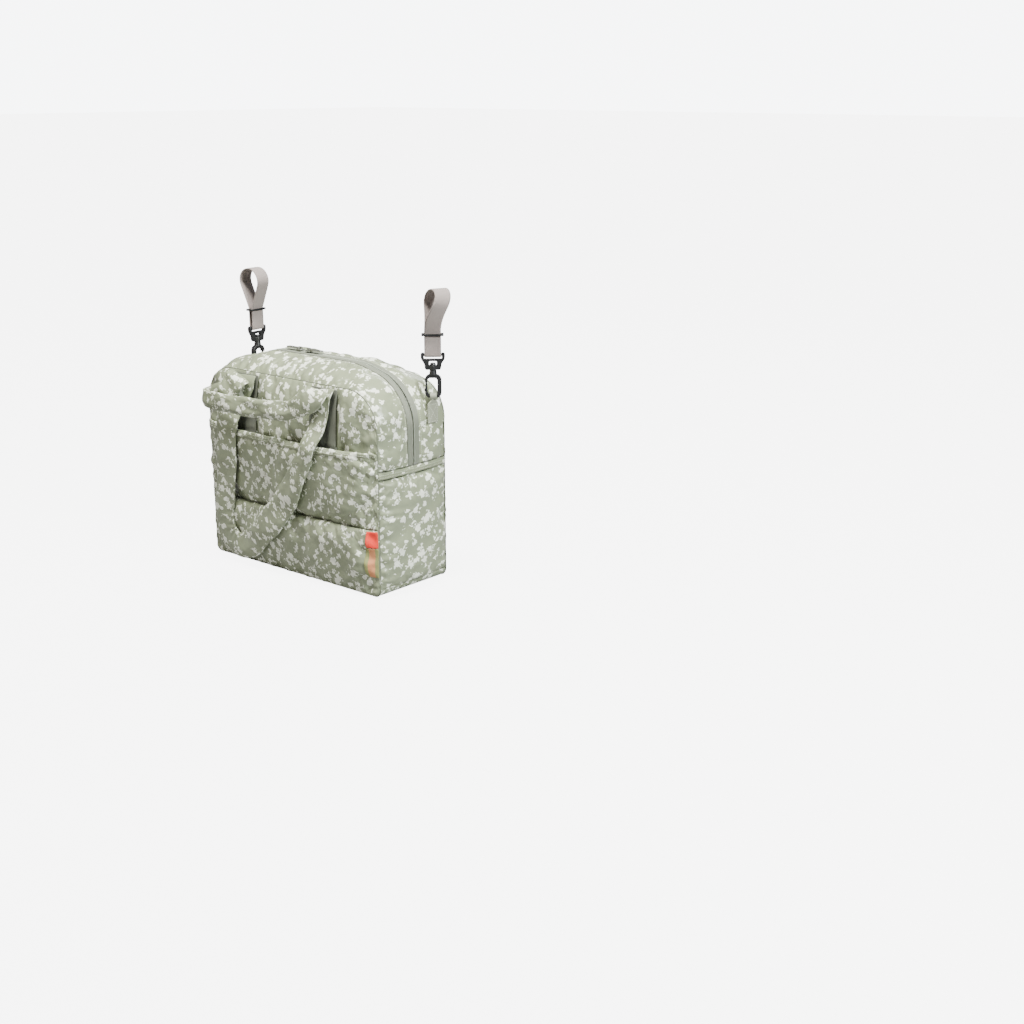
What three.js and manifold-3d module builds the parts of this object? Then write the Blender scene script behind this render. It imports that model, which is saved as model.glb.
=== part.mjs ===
// Diaper bag: a zipped soft shell with a front slip pocket, four sewn carrying handles and two
// clip-on stroller straps with swivel hooks.
// Millimetres. X runs to the bag's right, Y to its back, Z up. The origin is the centre of the
// underside of the base.

import * as THREE from 'three';
import { mergeVertices } from 'three/addons/utils/BufferGeometryUtils.js';
import Module from 'manifold-3d';

const wasm = await Module();
wasm.setup();

// ---------------------------------------------------------------- driving dimensions

// Shell
const WIDTH = 380;
const DEPTH = 150;
const HEIGHT = 311;
const TOP_RADIUS = 58;
const BASE_RADIUS = 14;
const PANEL = 4;
const GUSSET = 3;
const FIT = 0.3;
const RUN = 0.08;
const FRONT_BULGE = 12;
const BACK_BULGE = 8;
const TOP_CROWN = 28;
const SIDE_CROWN = 5;
const CROWN_FLAT = 75;

// Seam band on each side, where the zipped upper gusset meets the lower one
const BAND_FOOT = 181;
const BAND_HEIGHT = 12;

// Front slip pocket and the lower panel it is sewn to
const POCKET_TOP = 222;
const POCKET_FOOT = 105;
const POCKET_SIDE = 4;
const POCKET_GAPE = 9;
const POCKET_SKIN = 3;
const HEM_HEIGHT = 12;
const HEM_SKIN = 1.2;
const LOWER_PUFF = 4.5;

// Zip
const ZIP_STRIP = 12;
const COIL_WIDTH = 2.6;
const COIL_HEIGHT = 2;
const ROW_GAP = 1.6;
const TAPE = 1;
const SLIDER_LENGTH = 13;
const SLIDER_GAP = 0.5;
const SLIDER_PLATE = 1.4;
const SLIDER_LIP = 1.4;
const BRIDGE_LENGTH = 7.2;
const BRIDGE_WIDTH = 3;
const BRIDGE_RISE = 4;
const BRIDGE_WALL = 1.5;
const STOP_THICK = 1.6;
const STOP_LENGTH = 3;
const SLIDER_AT = [-48, -28];
const PULL_LENGTH = 30;
const PULL_WIDTH = 8;
const PULL_THICK = 1.8;
const PULL_HOLE = 1.8;

// Lining, base board and the pocket inside
const LINING = 1.5;
const LINING_INSET = 6;
const LINING_DROP = 22;
const BOARD = 2.5;
const INNER_POCKET_WIDTH = 210;
const INNER_POCKET_FOOT = 50;
const INNER_POCKET_TOP = 180;
const INNER_POCKET_DEPTH = 9;
const ELASTIC = 8;

// Carrying handles, all four sewn flat into the top seams
const HANDLE_X = 88;
const HANDLE_WIDTH = 54;
const HANDLE_THICK = 6;
const HANDLE_END = 3.2;
const ANCHOR_WIDTH = 56;
const ANCHOR = 1.6;
const ANCHOR_TUCK = 16;
const FLOOR_CLEAR = 8;
const SHORT_DROP = 46;
const BACK_LONG_DROP = 270;
const BACK_SHORT_DROP = 106;

// Side loops and their hooks
const LOOP_Y = 40;
const LOOP_WIDTH = 22;
const LOOP_SKIN = 1.6;
const TAB_DROP = 60;
const TAB_LENGTH = 32;
const EYE_PLAY = 0.6;
const EYE_SKIN = 1.6;
const EYE_WIDTH = 10;
const EYE_OUT = 3;
const EYE_DROP = 19;
const HOOK_YAW = { right: 42, left: 86 };

// Swivel hook
const RING_WIDTH = 25;
const RING_HEIGHT = 36;
const RING_THICK = 7;
const RING_BAR = 5.6;
const SPINE = 6.4;
const GATE_SIDE = 4.2;
const GATE_FOOT = 9;
const GATE_PIVOT = 27.5;
const GATE_NECK = 5;
const PIN = 1.1;
const POST = 2.6;
const HEAD = 4.7;
const HEAD_THICK = 2.8;
const COLLAR = 6;
const BOSS = 5.4;
const BOSS_HEIGHT = 6.8;
const FRAME_FOOT = 42.6;
const FRAME_HEIGHT = 25.4;
const FRAME_THICK = 6;
const FRAME_WIDTH = 36;
const FRAME_TOE = 24;
const BAR = 2;

// Stroller strap
const WEB_WIDTH = 25;
const WEB = 1.6;
const RAIL_RADIUS = 19;
const STRAP_TOP = 163;
const GLIDE_Z = 95;
const GLIDE = 3;
const STRAP_TWIST = { right: 28, left: 0 };
const STRAP_LEAN = { right: 12, left: 2 };

// Sewn-in side tab
const SIDE_TAB_FOOT = 32;
const TAN_LENGTH = 46;
const CORAL_LENGTH = 26;
const TAN_WIDTH = 13;
const CORAL_WIDTH = 16;

// ---------------------------------------------------------------- shape helpers

// Geometry from shared vertices and triangles, turned so its faces point outwards.
function closedMesh(points, faces) {
  let volume = 0;
  for (const [a, b, c] of faces) {
    const [p, q, r] = [points[a], points[b], points[c]];
    volume += p[0] * (q[1] * r[2] - q[2] * r[1]);
    volume -= p[1] * (q[0] * r[2] - q[2] * r[0]);
    volume += p[2] * (q[0] * r[1] - q[1] * r[0]);
  }
  const order = volume < 0 ? faces.map(([a, b, c]) => [a, c, b]) : faces;
  const geometry = new THREE.BufferGeometry();
  geometry.setAttribute('position', new THREE.Float32BufferAttribute(points.flat(), 3));
  geometry.setIndex(order.flat());
  return geometry;
}

// A skin with thickness: at(i, j) gives the outer and the inner point of each grid corner.
function skin(columns, rows, at) {
  const points = [];
  const faces = [];
  const layer = (columns + 1) * (rows + 1);
  const index = (i, j, k) => k * layer + i * (rows + 1) + j;
  for (const side of [0, 1]) {
    for (let i = 0; i <= columns; i++) {
      for (let j = 0; j <= rows; j++) points.push(at(i, j)[side]);
    }
  }
  const quad = (a, b, c, d) => faces.push([a, b, c], [a, c, d]);
  for (let i = 0; i < columns; i++) {
    for (let j = 0; j < rows; j++) {
      quad(index(i, j, 0), index(i + 1, j, 0), index(i + 1, j + 1, 0), index(i, j + 1, 0));
      quad(index(i, j, 1), index(i, j + 1, 1), index(i + 1, j + 1, 1), index(i + 1, j, 1));
    }
    quad(index(i, 0, 0), index(i, 0, 1), index(i + 1, 0, 1), index(i + 1, 0, 0));
    quad(index(i, rows, 0), index(i + 1, rows, 0), index(i + 1, rows, 1), index(i, rows, 1));
  }
  for (let j = 0; j < rows; j++) {
    quad(index(0, j, 0), index(0, j + 1, 0), index(0, j + 1, 1), index(0, j, 1));
    quad(index(columns, j, 0), index(columns, j, 1), index(columns, j + 1, 1), index(columns, j + 1, 0));
  }
  return closedMesh(points, faces);
}

// A body through a row of sections with the same number of corners. An open run is capped.
function loft(sections, closed = false) {
  const corners = sections[0].length;
  const points = sections.flat();
  const faces = [];
  const spans = closed ? sections.length : sections.length - 1;
  for (let i = 0; i < spans; i++) {
    const next = (i + 1) % sections.length;
    for (let j = 0; j < corners; j++) {
      const a = i * corners + j;
      const b = i * corners + (j + 1) % corners;
      const c = next * corners + (j + 1) % corners;
      const d = next * corners + j;
      faces.push([a, b, c], [a, c, d]);
    }
  }
  if (!closed) {
    const last = (sections.length - 1) * corners;
    for (let j = 1; j < corners - 1; j++) {
      faces.push([0, j + 1, j], [last, last + j, last + j + 1]);
    }
  }
  return closedMesh(points, faces);
}

// A closed three.js geometry as a solid that can be joined to others or cut by them.
function solid(geometry) {
  geometry.deleteAttribute('normal');
  geometry.deleteAttribute('uv');
  const merged = mergeVertices(geometry, 1e-4);
  return new wasm.Manifold(new wasm.Mesh({
    numProp: 3,
    vertProperties: merged.attributes.position.array,
    triVerts: new Uint32Array(merged.index.array),
  }));
}

function fromManifold(body) {
  const { vertProperties, triVerts } = body.getMesh();
  const geometry = new THREE.BufferGeometry();
  geometry.setAttribute('position', new THREE.Float32BufferAttribute(vertProperties, 3));
  geometry.setIndex(Array.from(triVerts));
  return geometry;
}

// A box given by its two far corners.
function box(low, high) {
  const block = new THREE.BoxGeometry(...high.map((value, axis) => value - low[axis]));
  block.translate(...high.map((value, axis) => (value + low[axis]) / 2));
  return solid(block);
}

// A rod along Z that stands on the height 0, tapered when its end radius differs.
function rod(length, radius, sides, endRadius = radius) {
  const turned = new THREE.CylinderGeometry(endRadius, radius, length, sides);
  turned.rotateX(Math.PI / 2);
  turned.translate(0, 0, length / 2);
  return solid(turned);
}

// A rod centred on the origin, along X or along Y.
const rodX = (length, radius, sides) => (
  rod(length, radius, sides).translate([0, 0, -length / 2]).rotate([0, 90, 0])
);
const rodY = (length, radius, sides) => (
  rod(length, radius, sides).translate([0, 0, -length / 2]).rotate([90, 0, 0])
);

// A flat shape from a list of [x, y] corners, raised along Z.
function raised(corners, thick) {
  const shape = new THREE.Shape(corners.map(([x, y]) => new THREE.Vector2(x, y)));
  return solid(new THREE.ExtrudeGeometry(shape, { depth: thick, bevelEnabled: false }));
}

// A plate in the XZ plane from a list of [x, z] corners, centred on the given Y.
function plate(corners, thick, y = 0) {
  return raised(corners, thick).rotate([90, 0, 0]).translate([0, y + thick / 2, 0]);
}

function rounded(width, height, radius, steps = 5) {
  const corners = [];
  for (const [cx, cz, from] of [[1, 1, 0], [-1, 1, 90], [-1, -1, 180], [1, -1, 270]]) {
    for (let i = 0; i <= steps; i++) {
      const angle = THREE.MathUtils.degToRad(from + 90 * i / steps);
      corners.push([
        cx * (width / 2 - radius) + radius * Math.cos(angle),
        cz * (height / 2 - radius) + radius * Math.sin(angle),
      ]);
    }
  }
  return corners;
}

const smooth = (low, high, value) => THREE.MathUtils.smoothstep(value, low, high);
const swell = (value, reach, power = 3) => Math.max(0, 1 - Math.abs(value / reach) ** power);

// A flat strap along control points [x, y, z, width, thick, [normal]], rounded at its edges.
// clear(centre, width, thick) moves a section's centre off whatever lies under it.
function strap(controls, spans, clear) {
  const curve = new THREE.CatmullRomCurve3(controls.map((c) => new THREE.Vector3(c[0], c[1], c[2])));
  const mix = (a, b, t) => a + (b - a) * t;
  const sections = [];
  for (let i = 0; i <= spans; i++) {
    const t = i / spans;
    const place = Math.min(t * (controls.length - 1), controls.length - 1.000001);
    const k = Math.floor(place);
    const part = place - k;
    const [from, to] = [controls[k], controls[k + 1]];
    const centre = curve.getPoint(t);
    const tangent = curve.getTangent(t);
    const flat = new THREE.Vector3(...from[5]).lerp(new THREE.Vector3(...to[5]), part);
    flat.addScaledVector(tangent, -flat.dot(tangent)).normalize();
    const across = new THREE.Vector3().crossVectors(tangent, flat);
    const wide = mix(from[3], to[3], part) / 2;
    const thin = mix(from[4], to[4], part) / 2;
    clear(centre, 2 * wide, 2 * thin);
    const ease = thin * 0.6;
    const outline = [
      [wide, thin - ease], [wide - ease, thin], [ease - wide, thin], [-wide, thin - ease],
      [-wide, ease - thin], [ease - wide, -thin], [wide - ease, -thin], [wide, ease - thin],
    ];
    sections.push(outline.map(([a, n]) => {
      const point = centre.clone().addScaledVector(across, a).addScaledVector(flat, n);
      return [point.x, point.y, point.z];
    }));
  }
  return loft(sections);
}

// ---------------------------------------------------------------- body outline and skins

const half = WIDTH / 2;
const anchorFoot = POCKET_TOP - ANCHOR_TUCK;
const liningTop = HEIGHT - LINING_DROP;
const tabFoot = HEIGHT - TAB_DROP;
const tabTop = tabFoot + TAB_LENGTH;
const eyeZ = HEIGHT - EYE_DROP;
const eyeBore = RING_BAR / 2 + EYE_PLAY;
const eyeReach = half + SIDE_CROWN + EYE_OUT;
const seamY = DEPTH / 2 - PANEL - FIT;

// Stations round the gusset, from the right side over the top to the left side.
function archStations(foot) {
  const stations = [];
  const arm = HEIGHT - TOP_RADIUS - foot;
  const lift = 4;
  for (let i = 0; i < lift; i++) stations.push([half, foot + arm * i / lift, 1, 0]);
  for (let i = 0; i <= 8; i++) {
    const angle = Math.PI / 2 * i / 8;
    const [c, s] = [Math.cos(angle), Math.sin(angle)];
    stations.push([half - TOP_RADIUS + TOP_RADIUS * c, HEIGHT - TOP_RADIUS + TOP_RADIUS * s, c, s]);
  }
  const run = half - TOP_RADIUS;
  const top = [];
  for (let i = 1; i < 12; i++) top.push([run - 2 * run * i / 12, HEIGHT, 0, 1]);
  const left = stations.map(([x, z, nx, nz]) => [-x, z, -nx, nz]).reverse();
  return [...stations, ...top, ...left];
}

function crownAt(x) {
  return TOP_CROWN + (SIDE_CROWN - TOP_CROWN) * smooth(CROWN_FLAT, half, Math.abs(x));
}

// Outward rise of the gusset at a depth y.
const rise = (x, y) => crownAt(x) * (1 - (y / seamY) ** 2);

// A strip of gusset between two depths, sunk below the arch surface by `sink`.
function archStrip(stations, yFrom, yTo, thick, sink = 0, rows = 5) {
  return skin(stations.length - 1, rows, (i, j) => {
    const [x, z, nx, nz] = stations[i];
    const y = yFrom + (yTo - yFrom) * j / rows;
    const out = rise(x, y) - sink;
    return [
      [x + nx * out, y, z + nz * out],
      [x + nx * (out - thick), y, z + nz * (out - thick)],
    ];
  });
}

// Columns of a panel: evenly over the flat part, by angle round the top corners.
function panelColumns() {
  const run = half - TOP_RADIUS;
  const columns = [];
  for (let i = 0; i <= 12; i++) columns.push(-run + 2 * run * i / 12);
  for (let i = 1; i <= 7; i++) {
    const out = run + TOP_RADIUS * Math.sin(Math.PI / 2 * i / 7);
    columns.push(out);
    columns.unshift(-out);
  }
  return columns;
}

function panelTop(x) {
  const past = Math.abs(x) - (half - TOP_RADIUS);
  if (past <= 0) return HEIGHT;
  return HEIGHT - TOP_RADIUS + Math.sqrt(Math.max(0, TOP_RADIUS ** 2 - past ** 2));
}

function panelFoot(x) {
  const past = Math.abs(x) - (half - BASE_RADIUS);
  if (past <= 0) return 0;
  return BASE_RADIUS - Math.sqrt(Math.max(0, BASE_RADIUS ** 2 - past ** 2));
}

const bulge = (x, z, size) => size * swell(x, half) * swell(2 * z / HEIGHT - 1, 1);

function panel(size, sign) {
  const columns = panelColumns();
  const rows = 12;
  return skin(columns.length - 1, rows, (i, j) => {
    const x = columns[i];
    const z = panelFoot(x) + (panelTop(x) - panelFoot(x)) * j / rows;
    const out = DEPTH / 2 + bulge(x, z, size);
    return [[x, sign * out, z], [x, sign * (out - PANEL), z]];
  });
}

// Distance from the bag's middle plane to each layer of the front.
const pocketHalf = half - POCKET_SIDE;
const frontSkin = (x, z) => DEPTH / 2 + bulge(x, z, FRONT_BULGE);
const gape = (x, z) => POCKET_GAPE * swell(x, pocketHalf) * smooth(POCKET_FOOT, POCKET_TOP, z);
const pocketSkin = (x, z) => frontSkin(x, z) + FIT + gape(x, z) + POCKET_SKIN;
const puff = (x, z) => LOWER_PUFF * swell(x, pocketHalf, 4) * smooth(0, POCKET_FOOT, z);
const lowerSkin = (x, z) => frontSkin(x, z) + FIT + POCKET_SKIN + puff(x, z);

// A skin over the front between two heights, `thick` deep behind its outer surface.
function frontPiece(xHalf, low, high, outer, thick, columns = 24, rows = 7) {
  return skin(columns, rows, (i, j) => {
    const x = xHalf * Math.sin(Math.PI / 2 * (2 * i / columns - 1));
    const z = low + (high - low) * j / rows;
    const out = outer(x, z);
    return [[x, -out, z], [x, -(out - thick(x, z)), z]];
  });
}

// Outermost front or back layer under a strap that covers this place.
function outermost(x, z, width, back) {
  let out = 0;
  for (let i = -3; i <= 3; i++) {
    for (let j = -3; j <= 3; j++) {
      const px = THREE.MathUtils.clamp(x + width / 6 * i, -half, half);
      const pz = THREE.MathUtils.clamp(z + (z > HEIGHT - 9 ? 1 : width / 6) * j, 0, HEIGHT);
      let here = back ? DEPTH / 2 + bulge(px, pz, BACK_BULGE) : frontSkin(px, pz);
      if (pz > anchorFoot && Math.abs(Math.abs(px) - HANDLE_X) < ANCHOR_WIDTH / 2) {
        here += FIT + ANCHOR;
      }
      if (!back && pz <= POCKET_TOP) {
        here = Math.max(here, pocketSkin(px, pz) + FIT + HEM_SKIN);
      }
      if (!back && pz <= POCKET_FOOT) here = Math.max(here, lowerSkin(px, pz));
      out = Math.max(out, here);
    }
  }
  return out;
}

// ---------------------------------------------------------------- materials

const finish = (color, roughness = 0.8, metalness = 0) => ({ color, roughness, metalness });
const PRINT = finish(0xb4bba6, 0.55);
const PLAIN = finish(0xa3a78f, 0.8);
const DARK_PLAIN = finish(0x6e715f, 0.85);
const TAPE_CLOTH = finish(0x9da190, 0.8);
const COIL = finish(0x8c907d, 0.45);
const LINING_CLOTH = finish(0xc9c7bb, 0.8);
const BOARD_STUFF = finish(0x5c5c58, 0.7);
const TAUPE = finish(0xb0a29c, 0.85);
const BLACK = finish(0x1b1b1c, 0.4);
const METAL = finish(0x9b9c96, 0.35, 0.9);
const CORAL = finish(0xf26a58, 0.7);
const TAN = finish(0xd3a783, 0.7);

const bag = new THREE.Group();
bag.name = 'diaper_bag';

function add(name, geometry, look) {
  geometry.computeVertexNormals();
  const mesh = new THREE.Mesh(geometry, new THREE.MeshStandardMaterial(look));
  mesh.name = name;
  bag.add(mesh);
  return mesh;
}

// ---------------------------------------------------------------- shell

add('front_panel', panel(FRONT_BULGE, -1), PRINT);
add('back_panel', panel(BACK_BULGE, 1), PRINT);

const arch = archStations(BAND_FOOT + BAND_HEIGHT + FIT);
const stripEdge = ZIP_STRIP + FIT;
add('gusset_front_strip', archStrip(arch, -seamY, -stripEdge, GUSSET), PRINT);
add('gusset_back_strip', archStrip(arch, stripEdge, seamY, GUSSET), PRINT);

// A straight piece of side gusset between two heights.
function sidePiece(sign, low, high, lift, rows = 10, columns = 2) {
  return skin(columns, rows, (i, j) => {
    const z = low + (high - low) * i / columns;
    const y = -seamY + 2 * seamY * j / rows;
    const out = half + rise(half, y) + lift;
    return [[sign * out, y, z], [sign * (out - GUSSET), y, z]];
  });
}

const baseStations = [];
for (let i = 0; i <= 5; i++) {
  const angle = Math.PI / 2 * i / 5;
  const [c, s] = [Math.cos(angle), Math.sin(angle)];
  baseStations.push([half - BASE_RADIUS + BASE_RADIUS * c, BASE_RADIUS - BASE_RADIUS * s, c, -s]);
}
const baseRun = [...baseStations, ...baseStations.map(([x, z, nx, nz]) => [-x, z, -nx, nz]).reverse()];
add('base_panel', skin(baseRun.length - 1, 1, (i, j) => {
  const [x, z, nx, nz] = baseRun[i];
  const y = j === 0 ? -seamY : seamY;
  return [[x, y, z], [x - nx * GUSSET, y, z - nz * GUSSET]];
}), PRINT);

for (const [side, sign] of [['right', 1], ['left', -1]]) {
  add(`side_gusset_${side}`, sidePiece(sign, BASE_RADIUS + FIT, BAND_FOOT - FIT, 0), PRINT);
  add(`side_band_${side}`, sidePiece(sign, BAND_FOOT, BAND_FOOT + BAND_HEIGHT, 1), PRINT);
}

// ---------------------------------------------------------------- front pocket and trim

add('front_lower_panel', frontPiece(
  pocketHalf, BASE_RADIUS * 0.6, POCKET_FOOT - FIT, lowerSkin,
  (x, z) => POCKET_SKIN + puff(x, z),
), PRINT);
add('front_pocket', frontPiece(
  pocketHalf, POCKET_FOOT, POCKET_TOP, pocketSkin, () => POCKET_SKIN,
), PRINT);
add('front_pocket_hem', frontPiece(
  pocketHalf, POCKET_TOP - HEM_HEIGHT, POCKET_TOP,
  (x, z) => pocketSkin(x, z) + FIT + HEM_SKIN, () => HEM_SKIN, 24, 2,
), PRINT);

for (const [side, sign] of [['right', 1], ['left', -1]]) {
  for (const [face, back] of [['front', false], ['back', true]]) {
    const out = (x, z) => (back ? DEPTH / 2 + bulge(x, z, BACK_BULGE) : frontSkin(x, z)) + FIT + ANCHOR;
    const turn = back ? -1 : 1;
    add(`handle_anchor_${face}_${side}`, skin(4, 6, (i, j) => {
      const x = sign * HANDLE_X + ANCHOR_WIDTH * (i / 4 - 0.5);
      const z = anchorFoot + (HEIGHT - 3 - anchorFoot) * j / 6;
      const y = out(x, z);
      return [[x, -turn * y, z], [x, -turn * (y - ANCHOR), z]];
    }), DARK_PLAIN);
  }
}

// The tab lies on the lower panel against the right seam: a tan strip with a coral fold above it.
const tabX = pocketHalf - TAN_WIDTH - 1;
function seamTab(low, length, width, thick) {
  return skin(3, 3, (i, j) => {
    const x = tabX + width * i / 3;
    const z = low + length * j / 3;
    const out = outermost(tabX + width / 2, low + length / 2, width + 8, false) + FIT + thick;
    return [[x, -out, z], [x, -(out - thick), z]];
  });
}
add('side_tab_tan', seamTab(SIDE_TAB_FOOT, TAN_LENGTH, TAN_WIDTH, 1.2), TAN);
add('side_tab_coral', seamTab(SIDE_TAB_FOOT + TAN_LENGTH + FIT, CORAL_LENGTH, CORAL_WIDTH, 2), CORAL);

// ---------------------------------------------------------------- zip

const rowEdge = ROW_GAP / 2;
const coilEdge = rowEdge + COIL_WIDTH;
for (const [face, sign] of [['front', -1], ['back', 1]]) {
  const [tapeIn, tapeOut] = [sign * (coilEdge + FIT), sign * ZIP_STRIP];
  add(`zip_tape_${face}`, archStrip(arch, tapeIn, tapeOut, TAPE, 1, 2), TAPE_CLOTH);
  add(`zip_coil_${face}`, archStrip(arch, sign * rowEdge, sign * coilEdge, COIL_HEIGHT, 0.5, 1), COIL);
}

// Stops close both ends of the rows just above the side bands.
for (const [side, sign] of [['right', 1], ['left', -1]]) {
  const outer = half + SIDE_CROWN;
  const foot = BAND_FOOT + BAND_HEIGHT;
  const span = [sign * (outer + FIT), sign * (outer + FIT + STOP_THICK)].sort((a, b) => a - b);
  const stop = box([span[0], -coilEdge, foot + 1], [span[1], coilEdge, foot + 1 + STOP_LENGTH]);
  add(`zip_stop_${side}`, fromManifold(stop), METAL);
}

// Two sliders meet on the level crest. Each has a plate above and below the rows, joined by the
// post between them, and a bridge over the top that holds the pull.
const crest = HEIGHT + TOP_CROWN - 0.5;
SLIDER_AT.forEach((at, index) => {
  const letter = 'ab'[index];
  const turn = index === 0 ? -1 : 1;
  const top = crest + SLIDER_GAP;
  const foot = crest - COIL_HEIGHT - SLIDER_GAP;
  const long = SLIDER_LENGTH / 2;
  const wide = coilEdge + SLIDER_LIP;
  const leaf = raised(rounded(SLIDER_LENGTH, 2 * wide, 3.5, 4), SLIDER_PLATE);
  const post = box([-1.8, -rowEdge + FIT, foot - 0.2], [1.8, rowEdge - FIT, top + 0.2]);
  const deck = top + SLIDER_PLATE;
  const [reachX, reachY] = [BRIDGE_LENGTH / 2, BRIDGE_WIDTH / 2];
  const bridgeOuter = box([-reachX, -reachY, deck - 0.2], [reachX, reachY, deck + BRIDGE_RISE]);
  const bridgeHole = box(
    [BRIDGE_WALL - reachX, -reachY - 1, deck],
    [reachX - BRIDGE_WALL, reachY + 1, deck + BRIDGE_RISE - 1.2],
  );
  const slider = leaf.translate([0, 0, top])
    .add(leaf.translate([0, 0, foot - SLIDER_PLATE]))
    .add(post)
    .add(bridgeOuter.subtract(bridgeHole))
    .translate([at, 0, 0]);
  add(`zip_slider_${letter}`, fromManifold(slider), METAL);

  const reach = PULL_LENGTH / 2 - PULL_HOLE - 1.2;
  const hole = box([-PULL_HOLE, -reachY - FIT, -1], [PULL_HOLE, reachY + FIT, PULL_THICK + 1]);
  const pull = raised(rounded(PULL_LENGTH, PULL_WIDTH, 3, 4), PULL_THICK)
    .translate([turn * reach, 0, 0])
    .subtract(hole)
    .translate([at + turn * (reachX - BRIDGE_WALL / 2), 0, deck + 0.5]);
  add(`zip_pull_${letter}`, fromManifold(pull), METAL);
});

// ---------------------------------------------------------------- lining and base board

function innerOutline(inset) {
  const corners = [];
  const arc = (cx, cz, radius, from) => {
    for (let i = 0; i <= 6; i++) {
      const angle = THREE.MathUtils.degToRad(from + 15 * i);
      corners.push([cx + radius * Math.cos(angle), cz + radius * Math.sin(angle)]);
    }
  };
  const [x, low, high] = [half - TOP_RADIUS, GUSSET + BOARD + 3 * FIT, HEIGHT - TOP_RADIUS];
  const foot = Math.max(2, BASE_RADIUS - inset + 4);
  const rim = TOP_RADIUS - inset;
  const drop = low + (inset - LINING_INSET);
  arc(x, high, rim, 0);
  arc(-x, high, rim, 90);
  arc(-(half - inset - foot), drop + foot, foot, 180);
  arc(half - inset - foot, drop + foot, foot, 270);
  return corners;
}

const liningY = DEPTH / 2 - PANEL - 3;
const liningOuter = plate(innerOutline(LINING_INSET), 2 * liningY);
const liningInner = plate(innerOutline(LINING_INSET + LINING), 2 * (liningY - LINING));
const mouth = box([-WIDTH, -DEPTH, liningTop], [WIDTH, DEPTH, HEIGHT + 60]);
add('lining', fromManifold(liningOuter.subtract(liningInner).subtract(mouth)), LINING_CLOTH);

const boardX = half - BASE_RADIUS - 2;
add('base_board', fromManifold(
  box([-boardX, -liningY, GUSSET + FIT], [boardX, liningY, GUSSET + FIT + BOARD]),
), BOARD_STUFF);

const pouchWall = liningY - LINING - FIT;
const pouchHalf = INNER_POCKET_WIDTH / 2;
const pouchFace = pouchWall - INNER_POCKET_DEPTH;
const pouchTop = INNER_POCKET_TOP - ELASTIC - FIT;
const pouchBlock = box([-pouchHalf, pouchFace, INNER_POCKET_FOOT], [pouchHalf, pouchWall, pouchTop]);
const pouchRoom = box(
  [LINING - pouchHalf, pouchFace + LINING, INNER_POCKET_FOOT + LINING],
  [pouchHalf - LINING, pouchWall + 5, pouchTop + 5],
);
add('inner_pocket', fromManifold(pouchBlock.subtract(pouchRoom)), LINING_CLOTH);
add('inner_pocket_elastic', fromManifold(
  box([-pouchHalf, pouchFace, pouchTop + FIT], [pouchHalf, pouchFace + 2, INNER_POCKET_TOP]),
), PLAIN);

// ---------------------------------------------------------------- carrying handles

// Each control is [share of the sewn spacing, share of the drop, lift, width, thickness, normal].
// The lift is the room left between the strap and what lies under it.
function handle(controls, drop, behind, spans) {
  const sign = behind ? 1 : -1;
  return strap(controls.map(([across, down, lift, width, thick, normal]) => {
    const x = across * HANDLE_X;
    const z = HEIGHT - down * drop;
    const y = sign * (outermost(x, z, Math.min(width, 40), behind) + lift + thick / 2);
    return [x, y, z, width, thick, normal];
  }), spans, (centre, width, thick) => {
    const out = outermost(centre.x, centre.z, width, behind) + FIT + thick / 2;
    centre.y = sign * Math.max(sign * centre.y, out);
  });
}

const outward = [0, -1, 0];
const low = 1.2;
const [W0, T0, T1] = [HANDLE_WIDTH, HANDLE_END, HANDLE_THICK];
const over = T0 + 2 * FIT;

add('handle_front_long', handle([
  [1, 0.013, FIT, W0, T0, outward],
  [1.022, 0.056, low, W0 - 12, 4.4, outward],
  [1.043, 0.133, low, 32, T1, outward],
  [0.961, 0.231, low + 6, 30, T1, outward],
  [0.864, 0.298, low + 3, 31, T1, outward],
  [0.799, 0.349, low + 1, 33, T1, outward],
  [0.615, 0.426, low + 1, 37, T1, outward],
  [0.389, 0.529, low + 1, 44, T1, outward],
  [0.119, 0.631, low + 1, 50, T1, outward],
  [-0.205, 0.729, low + 1, 50, T1, outward],
  [-0.551, 0.826, low + 1, 48, T1, outward],
  [-0.896, 0.903, low + 1, 46, T1, outward],
  [-1.231, 0.924, low + 1, 46, T1, outward],
  [-1.468, 0.878, low + 1, 46, T1, outward],
  [-1.544, 0.785, low + 1, 48, T1, outward],
  [-1.49, 0.667, low + 1, 48, T1, outward],
  [-1.382, 0.534, low + 1, 48, T1, outward],
  [-1.306, 0.39, low + 1, 50, T1, outward],
  [-1.241, 0.246, low, 50, T1, outward],
  [-1.101, 0.123, low, 50, T1, outward],
  [-1, 0.051, low, W0, 4.4, outward],
  [-1, 0.013, FIT, W0, T0, outward],
], HEIGHT - FLOOR_CLEAR, false, 76), PRINT);

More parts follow.
